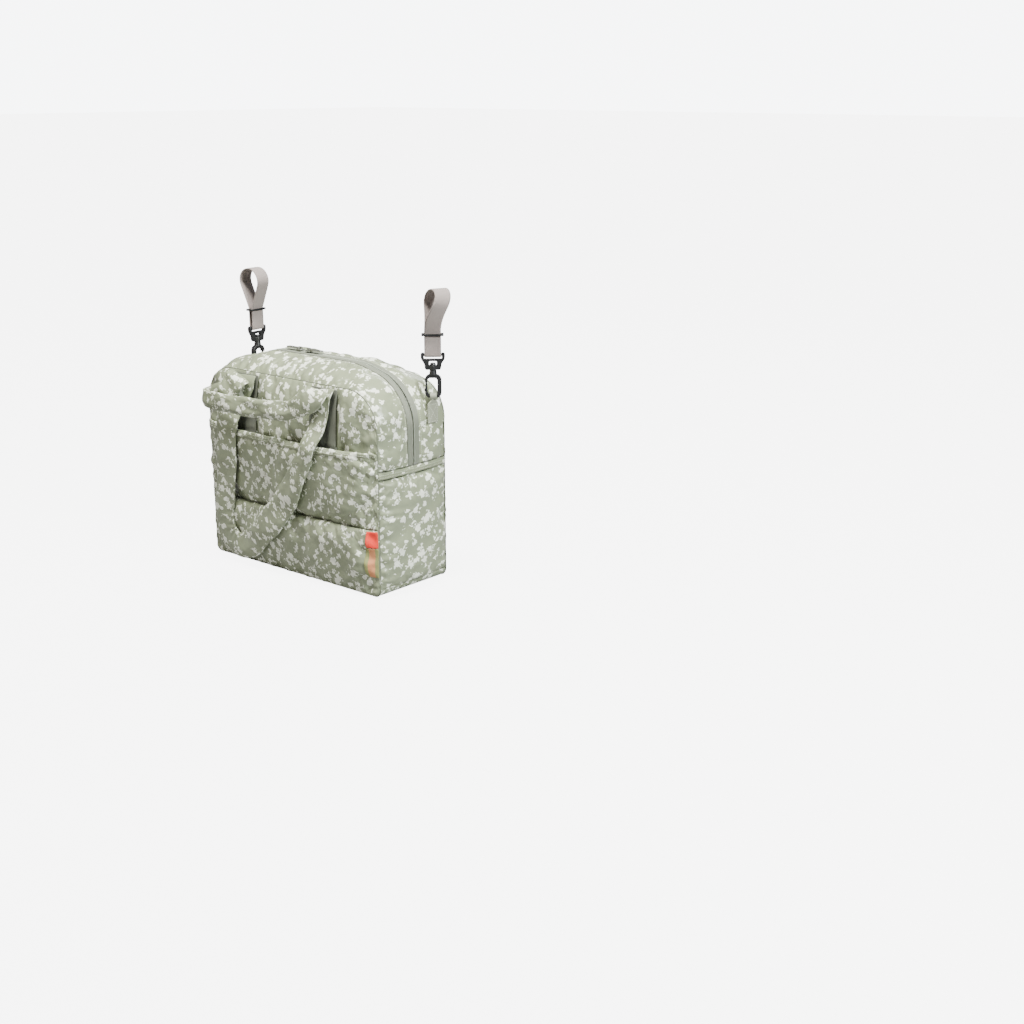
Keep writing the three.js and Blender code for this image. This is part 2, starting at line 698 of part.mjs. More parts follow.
add('handle_front_short', handle([
  [-1, 0.087, over + 5, W0 - 6, T0, [0, 1, 0]],
  [-1.026, 0.203, over + 13.5, W0 - 8, 3.6, [0.05, 1, 0]],
  [-1.086, 0.392, over + 10, 44, 4.4, [0.1, 1, 0]],
  [-1.295, 0.676, T1 + 12, 36, 5, [0.2, 1, 0]],
  [-1.576, 0.845, T1 + 13, 31, 5, [0, 1, 0]],
  [-1.706, 0.906, T1 + 14.5, 29, 5, [-0.6, 0.8, 0]],
  [-1.775, 0.947, T1 + 18.5, 29, 5, [-1, 0, 0]],
  [-1.706, 0.967, T1 + 23, 29, 5, [-0.6, -0.8, 0]],
  [-1.576, 0.974, T1 + 24.5, 30, 5, outward],
  [-1.08, 0.98, T1 + 21, 31, 5.4, outward],
  [-0.54, 0.98, T1 + 17, 32, T1, outward],
  [0, 0.947, T1 + 14, 32, T1, outward],
  [0.432, 0.865, T1 + 10, 32, T1, outward],
  [0.756, 0.575, T1 + 8, 37, 5, outward],
  [0.957, 0.338, T1 + 6, 42, 4.4, outward],
  [0.991, 0.189, over + 11.5, W0 - 8, 3.6, outward],
  [1, 0.087, over + 4.6, W0 - 6, T0, outward],
], SHORT_DROP, false, 60), PRINT);

const backward = [0, 1, 0];
const mirrored = (controls) => [
  ...controls,
  ...controls.map(([x, ...rest]) => [-x, ...rest]).reverse(),
];
add('handle_back_long', handle(mirrored([
  [1, 0.015, FIT, W0, T0, backward],
  [1, 0.069, FIT + 1, W0 - 6, 4.4, backward],
  [1.065, 0.161, FIT + 1, 44, T1, backward],
  [1.13, 0.446, FIT + 1, 42, T1, backward],
  [1.05, 0.773, FIT + 1, 42, T1, backward],
  [0.62, 0.931, FIT + 1, 42, T1, backward],
  [0.25, 0.991, FIT + 1, 42, T1, backward],
]), BACK_LONG_DROP, true, 52), PRINT);
add('handle_back_short', handle(mirrored([
  [1, 0.038, over + 4.5, W0, T0, backward],
  [1, 0.176, over + 4.5 + 1, W0 - 6, 4.4, backward],
  [0.978, 0.411, over + 4.5 + 1, 44, T1, backward],
  [0.957, 0.449, over + 4.5 + 1, 42, T1, backward],
  [0.877, 0.778, over + 4.5 + 1, 42, T1, backward],
  [0.62, 0.938, over + 4.5 + 1, 42, T1, backward],
  [0.25, 0.998, over + 4.5 + 1, 42, T1, backward],
]), BACK_SHORT_DROP, true, 40), PRINT);

// ---------------------------------------------------------------- side loops, hooks and straps

const webInner = BAR + FIT;
const webLine = webInner + WEB / 2;

// Stroller strap: one band round the frame bar, up through the slide and round the push bar.
function strapBand(twist, lean) {
  const foot = FRAME_FOOT + FRAME_HEIGHT - BAR - 0.8;
  const ring = RAIL_RADIUS + FIT + WEB / 2;
  const centre = STRAP_TOP - WEB / 2 - ring;
  const neck = GLIDE_Z + GLIDE / 2 + 1;
  const drop = new THREE.Vector2(webLine, neck - centre);
  const leave = drop.angle() + Math.acos(ring / drop.length()) - 2 * Math.PI;
  const path = [];
  for (let i = 0; i <= 6; i++) path.push([webLine, foot + (neck - foot) * i / 6]);
  const touch = [ring * Math.cos(leave), centre + ring * Math.sin(leave)];
  for (let i = 1; i < 5; i++) {
    path.push([webLine + (touch[0] - webLine) * i / 5, neck + (touch[1] - neck) * i / 5]);
  }
  const steps = 9;
  for (let i = 0; i <= steps; i++) {
    const angle = leave + (Math.PI / 2 - leave) * i / steps;
    path.push([ring * Math.cos(angle), centre + ring * Math.sin(angle)]);
  }
  const mirror = path.slice(0, -1).map(([n, z]) => [-n, z]).reverse();
  const wrap = [];
  for (let i = 1; i < 8; i++) {
    const angle = Math.PI + Math.PI * i / 8;
    wrap.push([webLine * Math.cos(angle), foot + webLine * Math.sin(angle)]);
  }
  const loop = [...path, ...mirror, ...wrap];
  const sections = loop.map(([n, z], i) => {
    const [before, after] = [loop.at(i - 1), loop[(i + 1) % loop.length]];
    const along = new THREE.Vector2(after[0] - before[0], after[1] - before[1]).normalize();
    const angle = THREE.MathUtils.degToRad(twist) * smooth(neck, STRAP_TOP, z);
    const shift = lean * smooth(neck, STRAP_TOP + 20, z);
    const corner = (across, thick) => {
      const nn = n + along.y * thick;
      const zz = z - along.x * thick;
      const x = across * Math.cos(angle) - nn * Math.sin(angle);
      const y = across * Math.sin(angle) + nn * Math.cos(angle);
      return [x + shift, y, zz];
    };
    const [w, t] = [WEB_WIDTH / 2, WEB / 2];
    return [corner(-w, -t), corner(w, -t), corner(w, t), corner(-w, t)];
  });
  return loft(sections, true);
}

function hookBody() {
  const ringShape = rounded(RING_WIDTH, RING_HEIGHT, 9, 6);
  const window = rounded(RING_WIDTH - SPINE - GATE_SIDE, RING_HEIGHT - 2 * RING_BAR - 0.4, 4, 5);
  const middle = RING_HEIGHT / 2;
  const shift = (GATE_SIDE - SPINE) / 2;
  const inner = window.map(([x, z]) => [x + shift, z + 0.2]);
  const gateX = -RING_WIDTH / 2 + GATE_SIDE / 2;
  let body = plate(ringShape, RING_THICK).subtract(plate(inner, RING_THICK + 2)).translate([0, 0, middle]);
  const low = RING_BAR / 2;
  body = body.subtract(box([-EYE_WIDTH / 2 - 1, -9, -1], [EYE_WIDTH / 2 + 1, 9, RING_BAR + 2]));
  body = body.add(rodX(EYE_WIDTH + 5, low, 20).translate([0, 0, low]));
  const edge = -RING_WIDTH / 2;
  const inside = edge + GATE_SIDE + 1;
  body = body.subtract(box([edge - 1, -9, GATE_FOOT], [inside, 9, GATE_PIVOT - 3]));
  body = body.subtract(box([edge - 1, -1.7, GATE_PIVOT - 4], [inside, 1.7, GATE_PIVOT + 3.4]));
  body = body.add(rodY(RING_THICK - 1, PIN, 12).translate([gateX, 0, GATE_PIVOT]));
  const collar = rod(FRAME_FOOT - FIT - RING_HEIGHT + 1, COLLAR, 20, COLLAR - 1);
  body = body.add(collar.translate([0, 0, RING_HEIGHT - 1]));
  const headZ = FRAME_FOOT + BOSS_HEIGHT + 2 * FIT;
  body = body.add(rod(headZ + 2 - FRAME_FOOT, POST, 16).translate([0, 0, FRAME_FOOT - 1]));
  return body.add(rod(HEAD_THICK, HEAD, 20, HEAD - 0.8).translate([0, 0, headZ]));
}

function hookGate() {
  const gateX = -RING_WIDTH / 2 + GATE_SIDE / 2;
  const leaf = plate([
    [gateX - 1.6, GATE_FOOT + 0.4], [gateX + 1.8, GATE_FOOT + 0.4],
    [gateX + 1.5, GATE_PIVOT - GATE_NECK], [gateX - 1.2, GATE_PIVOT - GATE_NECK],
  ], 5);
  const nub = rodY(5, 1.5, 14).translate([gateX - 1.4, 0, GATE_FOOT + 3]);
  const stem = box([gateX - 1.1, -1.3, GATE_PIVOT - GATE_NECK - 1], [gateX + 1.1, 1.3, GATE_PIVOT]);
  const knuckle = rodY(2.6, PIN + 1.2, 18).translate([gateX, 0, GATE_PIVOT]);
  const bore = rodY(9, PIN + RUN, 14).translate([gateX, 0, GATE_PIVOT]);
  return leaf.add(nub).add(stem).add(knuckle).subtract(bore);
}

function swivelFrame() {
  const [toe, ear, top] = [FRAME_TOE / 2, FRAME_WIDTH / 2, FRAME_FOOT + FRAME_HEIGHT];
  const slot = WEB_WIDTH / 2 + 0.8;
  const outline = [
    [-toe + 2, FRAME_FOOT], [toe - 2, FRAME_FOOT], [toe, FRAME_FOOT + 2], [toe + 1, FRAME_FOOT + 9],
    [ear - 0.6, FRAME_FOOT + 16], [ear, FRAME_FOOT + 19], [ear, top - 2], [ear - 1.4, top],
    [1.4 - ear, top], [-ear, top - 2], [-ear, FRAME_FOOT + 19], [0.6 - ear, FRAME_FOOT + 16],
    [-toe - 1, FRAME_FOOT + 9], [-toe, FRAME_FOOT + 2],
  ];
  let body = plate(outline, FRAME_THICK);
  body = body.subtract(box([-slot, -9, FRAME_FOOT + 16.4], [slot, 9, top + 1]));
  body = body.add(rodX(2 * slot + 2, BAR, 18).translate([0, 0, top - BAR - 0.8]));
  const bossTop = FRAME_FOOT + BOSS_HEIGHT;
  const boss = rod(BOSS_HEIGHT, BOSS, 24).translate([0, 0, FRAME_FOOT]);
  const window = box([-HEAD - 1, -9, bossTop], [HEAD + 1, 9, bossTop + HEAD_THICK + 4 * FIT + 2.2]);
  const bore = rod(BOSS_HEIGHT + 4, POST + RUN, 20).translate([0, 0, FRAME_FOOT - 3]);
  return body.add(boss).subtract(window).subtract(bore);
}

function triGlide() {
  const slotIn = webInner - FIT;
  const slotOut = webInner + WEB + FIT + 0.3;
  const [wide, deep] = [WEB_WIDTH / 2 + 4, slotOut + 2.8];
  let body = raised(rounded(2 * wide, 2 * deep, 2.5, 3), GLIDE);
  for (const sign of [1, -1]) {
    const [a, b] = [sign * slotIn, sign * slotOut].sort((p, q) => p - q);
    body = body.subtract(box([-WEB_WIDTH / 2 - 0.7, a, -1], [WEB_WIDTH / 2 + 0.7, b, GLIDE + 1]));
  }
  return body.translate([0, 0, GLIDE_Z - GLIDE / 2]);
}

for (const [side, sign] of [['right', 1], ['left', -1]]) {
  const eyeX = sign * eyeReach;
  const footZ = eyeZ - RING_BAR / 2;
  const yaw = sign * HOOK_YAW[side];
  const placeGeometry = (geometry) => {
    geometry.rotateZ(THREE.MathUtils.degToRad(yaw));
    geometry.translate(eyeX, LOOP_Y, footZ);
    return geometry;
  };
  const placed = (body) => placeGeometry(fromManifold(body));

  // Side loop: a flat tab sewn to the gusset, gathered into an eye for the hook.
  const skinX = half + SIDE_CROWN + 0.4;
  const rung = (x, z, width, thick) => {
    const [near, far] = [LOOP_Y - width / 2, LOOP_Y + width / 2];
    return [[x, near, z], [x + thick, near, z], [x + thick, far, z], [x, far, z]];
  };
  const eyeOuter = eyeBore + EYE_SKIN;
  const tab = box(
    [skinX, LOOP_Y - LOOP_WIDTH / 2, tabFoot],
    [skinX + LOOP_SKIN, LOOP_Y + LOOP_WIDTH / 2, tabTop - 2],
  );
  const throat = solid(loft([
    rung(skinX, tabTop - 3.2, LOOP_WIDTH, LOOP_SKIN),
    rung(skinX, tabTop - 2, LOOP_WIDTH, LOOP_SKIN),
    rung(eyeReach - 1.2, eyeZ - eyeOuter - 0.4, EYE_WIDTH - 2, 2.4),
    rung(eyeReach - 1.2, eyeZ - eyeOuter + 0.8, EYE_WIDTH - 2, 2.4),
  ]));
  const atEye = (body) => body.rotate([0, 0, HOOK_YAW[side]]).translate([eyeReach, LOOP_Y, eyeZ]);
  const eye = atEye(rodX(EYE_WIDTH, eyeOuter, 24));
  const eyeHole = atEye(rodX(EYE_WIDTH + 8, eyeBore, 24));
  let sideLoop = tab.add(throat).add(eye).subtract(eyeHole);
  if (sign < 0) sideLoop = sideLoop.mirror([1, 0, 0]);
  add(`side_loop_${side}`, fromManifold(sideLoop), PLAIN);

  add(`hook_body_${side}`, placed(hookBody()), BLACK);
  add(`hook_gate_${side}`, placed(hookGate()), BLACK);
  add(`swivel_frame_${side}`, placed(swivelFrame()), BLACK);
  add(`tri_glide_${side}`, placed(triGlide()), BLACK);
  const twist = sign * STRAP_TWIST[side];
  add(`strap_webbing_${side}`, placeGeometry(strapBand(twist, STRAP_LEAN[side])), TAUPE);
}

export default bag;
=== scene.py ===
import math

import bmesh
import bpy
import numpy as np
from mathutils import Matrix, Vector
from mathutils.bvhtree import BVHTree


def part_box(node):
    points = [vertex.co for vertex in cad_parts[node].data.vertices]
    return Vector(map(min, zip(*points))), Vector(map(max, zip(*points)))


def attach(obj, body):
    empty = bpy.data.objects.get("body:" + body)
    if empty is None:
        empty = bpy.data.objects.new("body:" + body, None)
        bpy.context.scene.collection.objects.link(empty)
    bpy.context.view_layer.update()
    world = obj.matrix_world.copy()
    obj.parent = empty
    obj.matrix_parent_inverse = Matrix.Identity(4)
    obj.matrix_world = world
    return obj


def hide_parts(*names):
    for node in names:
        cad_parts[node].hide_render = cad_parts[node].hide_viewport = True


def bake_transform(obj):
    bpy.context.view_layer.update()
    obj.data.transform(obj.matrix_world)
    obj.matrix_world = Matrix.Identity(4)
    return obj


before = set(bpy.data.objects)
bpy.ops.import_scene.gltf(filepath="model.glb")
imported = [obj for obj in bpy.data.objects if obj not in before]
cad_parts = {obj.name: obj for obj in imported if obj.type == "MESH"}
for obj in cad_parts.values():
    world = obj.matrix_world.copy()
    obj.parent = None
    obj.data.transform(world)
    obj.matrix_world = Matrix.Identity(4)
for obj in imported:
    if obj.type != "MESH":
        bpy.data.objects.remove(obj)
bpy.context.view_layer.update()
scene = bpy.context.scene

# ---------------------------------------------------------------- camera, floor and light
# The camera stands off the bag's front right corner, a little above it. The bag stands on a
# plain pale floor in soft light: the right side and the top are the bright ones.


def in_scene(name, data):
    """An object with this data, in the scene."""
    made = bpy.data.objects.new(name, data)
    scene.collection.objects.link(made)
    return made


lens_data = bpy.data.cameras.new("camera")
lens_data.lens = 52.73
lens_data.sensor_width = 36
camera = in_scene("camera", lens_data)
camera_place = (1.7072, -1.5597, 0.7445)
camera_right = Vector((0.76291, 0.64651, 0))
camera_up = Vector((-0.17892, 0.21113, 0.96094))
camera_back = camera_right.cross(camera_up)
camera_turn = Matrix((camera_right, camera_up, camera_back)).transposed().to_4x4()
camera.matrix_world = Matrix.Translation(camera_place) @ camera_turn
scene.camera = camera

bag_middle = (0, 0, 0.2)
for name, place, size, power, colour in (
    ("key_light", (2.2, -0.1, 1.35), 0.45, 104, (0.95, 1, 0.99)),
    ("top_light", (0.25, -0.45, 2.2), 0.5, 128, (1, 1, 0.95)),
    ("fill_light", (-1.0, -2.4, 1.0), 1.4, 15, (1, 0.93, 0.8)),
    ("back_light", (-0.6, 1.9, 1.5), 1.0, 24, (0.95, 0.98, 1)),
):
    lamp_data = bpy.data.lights.new(name, "AREA")
    lamp_data.size = size
    lamp_data.energy = power
    lamp_data.color = colour
    lamp = in_scene(name, lamp_data)
    lamp.location = place
    lamp.rotation_euler = (Vector(bag_middle) - Vector(place)).to_track_quat("-Z", "Y").to_euler()


def fill(tree, node, values):
    """Fills a node's inputs, by order or by name: a socket is linked, anything else is set."""
    named = values if isinstance(values, dict) else dict(enumerate(values))
    for key, value in named.items():
        if isinstance(value, bpy.types.NodeSocket):
            tree.links.new(value, node.inputs[key])
        elif value is not None:
            node.inputs[key].default_value = value
    return node


def add_node(tree, kind, values=(), **settings):
    """A new shader or geometry node with its settings and inputs."""
    made = tree.nodes.new(kind)
    for name, setting in settings.items():
        setattr(made, name, setting)
    return fill(tree, made, values)


def sums(tree, operation, *values, clamp=False):
    return add_node(tree, "ShaderNodeMath", values, operation=operation, use_clamp=clamp).outputs[0]


# Room and floor are dim for the bag and bright for the camera, like a lit backdrop far behind it.
room_light = 0.12
backdrop_glow = 7.5
floor_glow = 6.5
floor_half = 30

world = bpy.data.worlds.new("studio")
world.use_nodes = True
room = world.node_tree
seen = add_node(room, "ShaderNodeLightPath").outputs["Is Camera Ray"]
fill(room, room.nodes["Background"], {
    "Strength": sums(room, "MULTIPLY_ADD", seen, backdrop_glow, room_light), "Color": (0.96, 0.98, 1, 1),
})
scene.world = world

floor_mesh = bpy.data.meshes.new("floor")
floor_corners = [(x * floor_half, y * floor_half, 0) for x, y in ((-1, -1), (1, -1), (1, 1), (-1, 1))]
floor_mesh.from_pydata(floor_corners, [], [(0, 1, 2, 3)])
floor = in_scene("floor", floor_mesh)
floor.location.z = -0.0005
floor_paint = bpy.data.materials.new("floor_paint")
floor_paint.use_nodes = True
paint = floor_paint.node_tree
seen = add_node(paint, "ShaderNodeLightPath").outputs["Is Camera Ray"]
fill(paint, paint.nodes["Principled BSDF"], {
    "Base Color": (0.2, 0.2, 0.2, 1), "Roughness": 0.9, "Emission Color": (1, 1, 1, 1),
    "Emission Strength": sums(paint, "MULTIPLY", seen, floor_glow),
})
floor_mesh.materials.append(floor_paint)

# ---------------------------------------------------------------- printed cloth
# The outer cloth is a fine, slightly shiny polyester in sage green, printed with ragged
# off-white spots and dashes, over a thin wadding that lets it pucker along every seam.


def effect(name, inputs, outputs):
    """An empty shader node group with named inputs and outputs, and its two end nodes."""
    group = bpy.data.node_groups.new(name, "ShaderNodeTree")
    for label, kind, start in inputs:
        socket = group.interface.new_socket(label, in_out="INPUT", socket_type=kind)
        if start is not None:
            socket.default_value = start
    for label, kind in outputs:
        group.interface.new_socket(label, in_out="OUTPUT", socket_type=kind)
    return group, group.nodes.new("NodeGroupInput").outputs, group.nodes.new("NodeGroupOutput").inputs


spot_print, given, wanted = effect(
    "spot_print",
    [
        ("Cloth", "NodeSocketVector", None),
        ("Spots per metre", "NodeSocketFloat", 76.0),
        ("Ragged", "NodeSocketFloat", 0.0062),
        ("Cover", "NodeSocketFloat", 0.275),
    ],
    [("Mask", "NodeSocketFloat")],
)


def ragged_cells(tree, cloth, density, cover, kept, stretch, turn, push):
    """One layer of the print: a spot in most cells of a scattered grid."""
    laid = add_node(tree, "ShaderNodeMapping", {
        "Vector": cloth, "Rotation": (0, 0, turn), "Scale": stretch, "Location": push,
    }).outputs[0]
    cells = add_node(tree, "ShaderNodeTexVoronoi", {
        "Vector": laid, "Scale": density, "Randomness": 0.72,
    }, voronoi_dimensions="2D", feature="F1")
    parts = add_node(tree, "ShaderNodeSeparateColor", [cells.outputs["Color"]])
    reach = sums(tree, "MULTIPLY", cover, sums(tree, "ADD", 0.5, parts.outputs[0]))
    inside = sums(tree, "SUBTRACT", reach, cells.outputs["Distance"])
    edge = sums(tree, "MULTIPLY_ADD", inside, 14.0, 0.5, clamp=True)
    return sums(tree, "MULTIPLY", edge, sums(tree, "GREATER_THAN", parts.outputs[1], kept))


def noise(tree, place, scale, detail, distortion=None, **kind):
    return add_node(tree, "ShaderNodeTexNoise", {
        "Vector": place, "Scale": scale, "Detail": detail, "Distortion": distortion,
    }, **kind).outputs


def vectors(tree, operation, *values):
    return add_node(tree, "ShaderNodeVectorMath", values, operation=operation).outputs[0]


coarse, fine = (
    noise(spot_print, given["Cloth"], scale, 0.0, noise_dimensions="2D")["Color"]
    for scale in (135.0, 260.0)
)
centred = vectors(spot_print, "SUBTRACT", vectors(spot_print, "ADD", coarse, fine), (1, 1, 1))
shoved = add_node(spot_print, "ShaderNodeVectorMath", {
    0: centred, "Scale": given["Ragged"],
}, operation="SCALE").outputs[0]
torn = vectors(spot_print, "ADD", given["Cloth"], shoved)
large = ragged_cells(
    spot_print, torn, given["Spots per metre"], given["Cover"], 0.26, (1, 0.82, 1), 0.5, (0, 0, 0),
)
dashes = ragged_cells(
    spot_print, torn, sums(spot_print, "MULTIPLY", given["Spots per metre"], 1.5),
    sums(spot_print, "MULTIPLY", given["Cover"], 0.8), 0.6, (1.25, 0.62, 1), -0.35, (0.31, 0.17, 0),
)
spot_print.links.new(sums(spot_print, "MAXIMUM", large, dashes), wanted["Mask"])

weave, given, wanted = effect(
    "weave",
    [("Cloth", "NodeSocketVector", None), ("Threads per metre", "NodeSocketFloat", 1600.0)],
    [("Height", "NodeSocketFloat")],
)
across = add_node(weave, "ShaderNodeSeparateXYZ", [given["Cloth"]])
turned = sums(weave, "MULTIPLY", given["Threads per metre"], math.pi)
warp = sums(weave, "SINE", sums(weave, "MULTIPLY", across.outputs[0], turned))
weft = sums(weave, "SINE", sums(weave, "MULTIPLY", across.outputs[1], turned))
crossed = sums(weave, "MULTIPLY_ADD", sums(weave, "MULTIPLY", warp, weft), 0.5, 0.5)
slub = noise(weave, given["Cloth"], 900.0, 1.0)[0]
weave.links.new(sums(weave, "MULTIPLY_ADD", slub, 0.5, crossed), wanted["Height"])

crinkle, given, wanted = effect(
    "crinkle",
    [("Cloth", "NodeSocketVector", None), ("Creases per metre", "NodeSocketFloat", 26.0)],
    [("Height", "NodeSocketFloat"), ("Shade", "NodeSocketFloat")],
)
creases = given["Creases per metre"]
ridges = noise(crinkle, given["Cloth"], creases, 3.0, 0.6, noise_type="RIDGED_MULTIFRACTAL")[0]
swells = noise(crinkle, given["Cloth"], creases, 2.0)[0]
crinkle.links.new(sums(crinkle, "MULTIPLY_ADD", ridges, 0.25, swells), wanted["Height"])
crinkle.links.new(swells, wanted["Shade"])


def place_effect(tree, group, values):
    """Puts an effect into a material and gives its outputs."""
    return add_node(tree, "ShaderNodeGroup", values, node_tree=group).outputs


def raised(tree, height, depth, strength, under=None):
    """The normal that a height gives, in metres, over another normal."""
    return add_node(tree, "ShaderNodeBump", {
        "Strength": strength, "Distance": depth, "Height": height, "Normal": under,
    }).outputs[0]


def cloth_bump(tree, cloth, threads, weave_depth, creases, crease_depth):
    """The cloth's normal, creases first and the weave over them, and its uneven shade."""
    folds = place_effect(tree, crinkle, {"Cloth": cloth, "Creases per metre": creases})
    threads_up = place_effect(tree, weave, {"Cloth": cloth, "Threads per metre": threads})
    creased = raised(tree, folds["Height"], crease_depth, 1.0)
    return raised(tree, threads_up["Height"], weave_depth, 0.6, creased), folds["Shade"]


def new_material(name, coordinates):
    """A material, its nodes, its shader and the coordinates that its pattern lies on."""
    material = bpy.data.materials.new(name)
    material.use_nodes = True
    tree = material.node_tree
    place = add_node(tree, "ShaderNodeTexCoord").outputs[coordinates]
    return material, tree, tree.nodes["Principled BSDF"], place


def mixed(tree, share, first, second):
    return add_node(tree, "ShaderNodeMix", {0: share, 6: first, 7: second}, data_type="RGBA").outputs[2]


def darker(colour, by):
    return tuple(c * by for c in colour[:3]) + (1,)


# The print lies on each piece's own UV map, in metres of cloth.
sage = (0.25, 0.28, 0.18, 1)
off_white = (0.84, 0.86, 0.74, 1)
print_material, tree, shader, cloth = new_material("sage_spot_print", "UV")
normal, shade = cloth_bump(tree, cloth, 1500.0, 0.00005, 34.0, 0.0034)
mask = place_effect(tree, spot_print, {"Cloth": cloth})["Mask"]
shaded = mixed(tree, sums(tree, "MULTIPLY", shade, 0.35), sage, darker(sage, 0.78))
fill(tree, shader, {
    "Base Color": mixed(tree, mask, shaded, off_white),
    "Roughness": sums(tree, "MULTIPLY_ADD", mask, 0.08, 0.3),
    "Normal": normal, "Sheen Weight": 0.08, "Sheen Roughness": 0.4,
})

# ---------------------------------------------------------------- shell
# The shell is cut from flat panels: a front, a back, two strips of gusset with the zip between
# them, a side gusset and seam band on each side, and a base. They are sewn right sides together
# and turned, so that the cloth rolls over into every seam and is gathered along it.

front_low, front_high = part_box("front_panel")
half_width = front_high.x
height = front_high.z
seam_y = -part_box("gusset_front_strip")[0].y
zip_half = -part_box("gusset_front_strip")[1].y
side_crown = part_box("side_gusset_right")[1].x - half_width
top_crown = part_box("gusset_front_strip")[1].z - height
half_depth = seam_y + 0.0043
front_bulge = -front_low.y - half_depth
back_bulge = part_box("back_panel")[1].y - half_depth
top_radius = 0.058
base_radius = 0.014
cell = 0.0036


def swell(value, reach, power=3):
    return np.maximum(0, 1 - np.abs(value / reach) ** power)


def ease(value, low, high):
    part = np.clip((value - low) / (high - low), 0, 1)
    return part * part * (3 - 2 * part)


def roll(inward, radius):
    """How far a sewn edge has rolled up to full height, from 0 on the seam to 1."""
    part = np.clip(inward / radius, 0, 1)
    return np.sqrt(1 - (1 - part) ** 2)


def unit(ways):
    return ways / np.linalg.norm(ways, axis=-1, keepdims=True)


def lengths(line):
    """How far along a line each of its points is."""
    return np.concatenate([[0], np.cumsum(np.hypot(*np.diff(line, axis=0).T))])


def panel_top(x):
    past = np.maximum(np.abs(x) - (half_width - top_radius), 0)
    return height - top_radius + np.sqrt(np.maximum(top_radius**2 - past**2, 0))


def panel_foot(x):
    past = np.maximum(np.abs(x) - (half_width - base_radius), 0)
    return base_radius - np.sqrt(np.maximum(base_radius**2 - past**2, 0))


def from_outline(x, z):
    """Distance in from the panel's outline."""
    upper = z > height / 2
    radius = np.where(upper, top_radius, base_radius)
    level = np.where(upper, z - height + radius, radius - z)
    past_x = np.abs(x) - half_width + radius
    corner = np.hypot(np.maximum(past_x, 0), np.maximum(level, 0))
    return radius - corner - np.minimum(np.maximum(past_x, level), 0)


def bulge(x, z, size):
    return size * swell(x, half_width) * swell(2 * z / height - 1, 1)


def spaced(low, high, step=cell):
    return np.linspace(low, high, max(2, round(abs(high - low) / step) + 1))


def make_sheet(points, flat, outward, edges=(0, 0, 0, 0)):
    """A sheet of cloth from its points (columns, rows, 3) and their places on the flat cloth.

    edges says how many steps in from its left, right, foot and top edge a seam holds it.
    """
    columns, rows = points.shape[:2]
    index = np.arange(columns * rows).reshape(columns, rows)
    corners = [index[:-1, :-1], index[1:, :-1], index[1:, 1:], index[:-1, 1:]]
    faces = np.stack(corners, -1).reshape(-1, 4)
    one, two, _, four = (points.reshape(-1, 3)[faces[:, k]] for k in range(4))
    if np.dot(np.cross(two - one, four - one).sum(0), outward) < 0:
        faces = faces[:, ::-1]
    column, row = np.meshgrid(np.arange(columns), np.arange(rows), indexing="ij")
    left, right, foot, top = edges
    held = (column < left) | (column >= columns - right) | (row < foot) | (row >= rows - top)
    return {"points": points, "flat": flat, "faces": faces, "outward": outward, "held": held}


def billow(sheets, growth, pressure, frames):
    """Blows the held sheets up a little, all in one run: spare cloth puckers along the seams."""
    starts = np.cumsum([0] + [s["points"].size // 3 for s in sheets])
    points = np.concatenate([s["points"].reshape(-1, 3) for s in sheets])
    points += np.random.default_rng(7).normal(0, 0.00025, points.shape)
    faces = np.concatenate([s["faces"] + start for s, start in zip(sheets, starts)])
    mesh = bpy.data.meshes.new("billow")
    mesh.from_pydata(points.tolist(), [], faces.tolist())
    rig = in_scene("billow", mesh)
    held = np.concatenate([s["held"].ravel() for s in sheets])
    rig.vertex_groups.new(name="held").add(np.flatnonzero(held).tolist(), 1.0, "REPLACE")
    cloth = rig.modifiers.new("cloth", "CLOTH")
    for name, value in {
        "quality": 5, "mass": 0.2, "air_damping": 3, "tension_stiffness": 14, "compression_stiffness": 10,
        "shear_stiffness": 4, "bending_stiffness": 0.08, "vertex_group_mass": "held",
        "use_pressure": True, "uniform_pressure_force": pressure, "shrink_min": -growth,
    }.items():
        setattr(cloth.settings, name, value)
    cloth.settings.effector_weights.gravity = 0
    cloth.point_cache.frame_start = 1
    cloth.point_cache.frame_end = frames
    for number in range(1, frames + 1):
        scene.frame_set(number)
    settled = rig.evaluated_get(bpy.context.evaluated_depsgraph_get()).data
    found = np.empty(len(points) * 3)
    settled.vertices.foreach_get("co", found)
    found = found.reshape(-1, 3)
    scene.frame_set(1)
    bpy.data.objects.remove(rig)
    for sheet, start in zip(sheets, starts):
        count = sheet["points"].size // 3
        moved = found[start:start + count].reshape(sheet["points"].shape) - sheet["points"]
        moved[sheet["held"]] = 0
        sheet["moved"] = moved


def outward_of(sheet):
    """The unit normal of the sheet at each of its points."""
    along = np.gradient(sheet["points"], axis=0)
    up = np.gradient(sheet["points"], axis=1)
    normal = np.cross(along, up)
    normal /= np.maximum(np.linalg.norm(normal, axis=-1, keepdims=True), 1e-12)
    return normal if (normal.reshape(-1, 3) @ np.array(sheet["outward"])).sum() > 0 else -normal


def settle(sheet, room_out, room_in=0.005):
    """Takes up the billowed shape, but leans back before it would leave its room."""
    if "moved" not in sheet:
        return
    normal = outward_of(sheet)
    lift = (sheet["moved"] * normal).sum(-1)
    room = np.where(lift > 0, room_out, room_in)
    eased = room * np.tanh(lift / np.maximum(room, 1e-6))
    slide = np.clip(sheet["moved"] - normal * lift[..., None], -0.0015, 0.0015)
    sheet["points"] = sheet["points"] + normal * eased[..., None] + slide


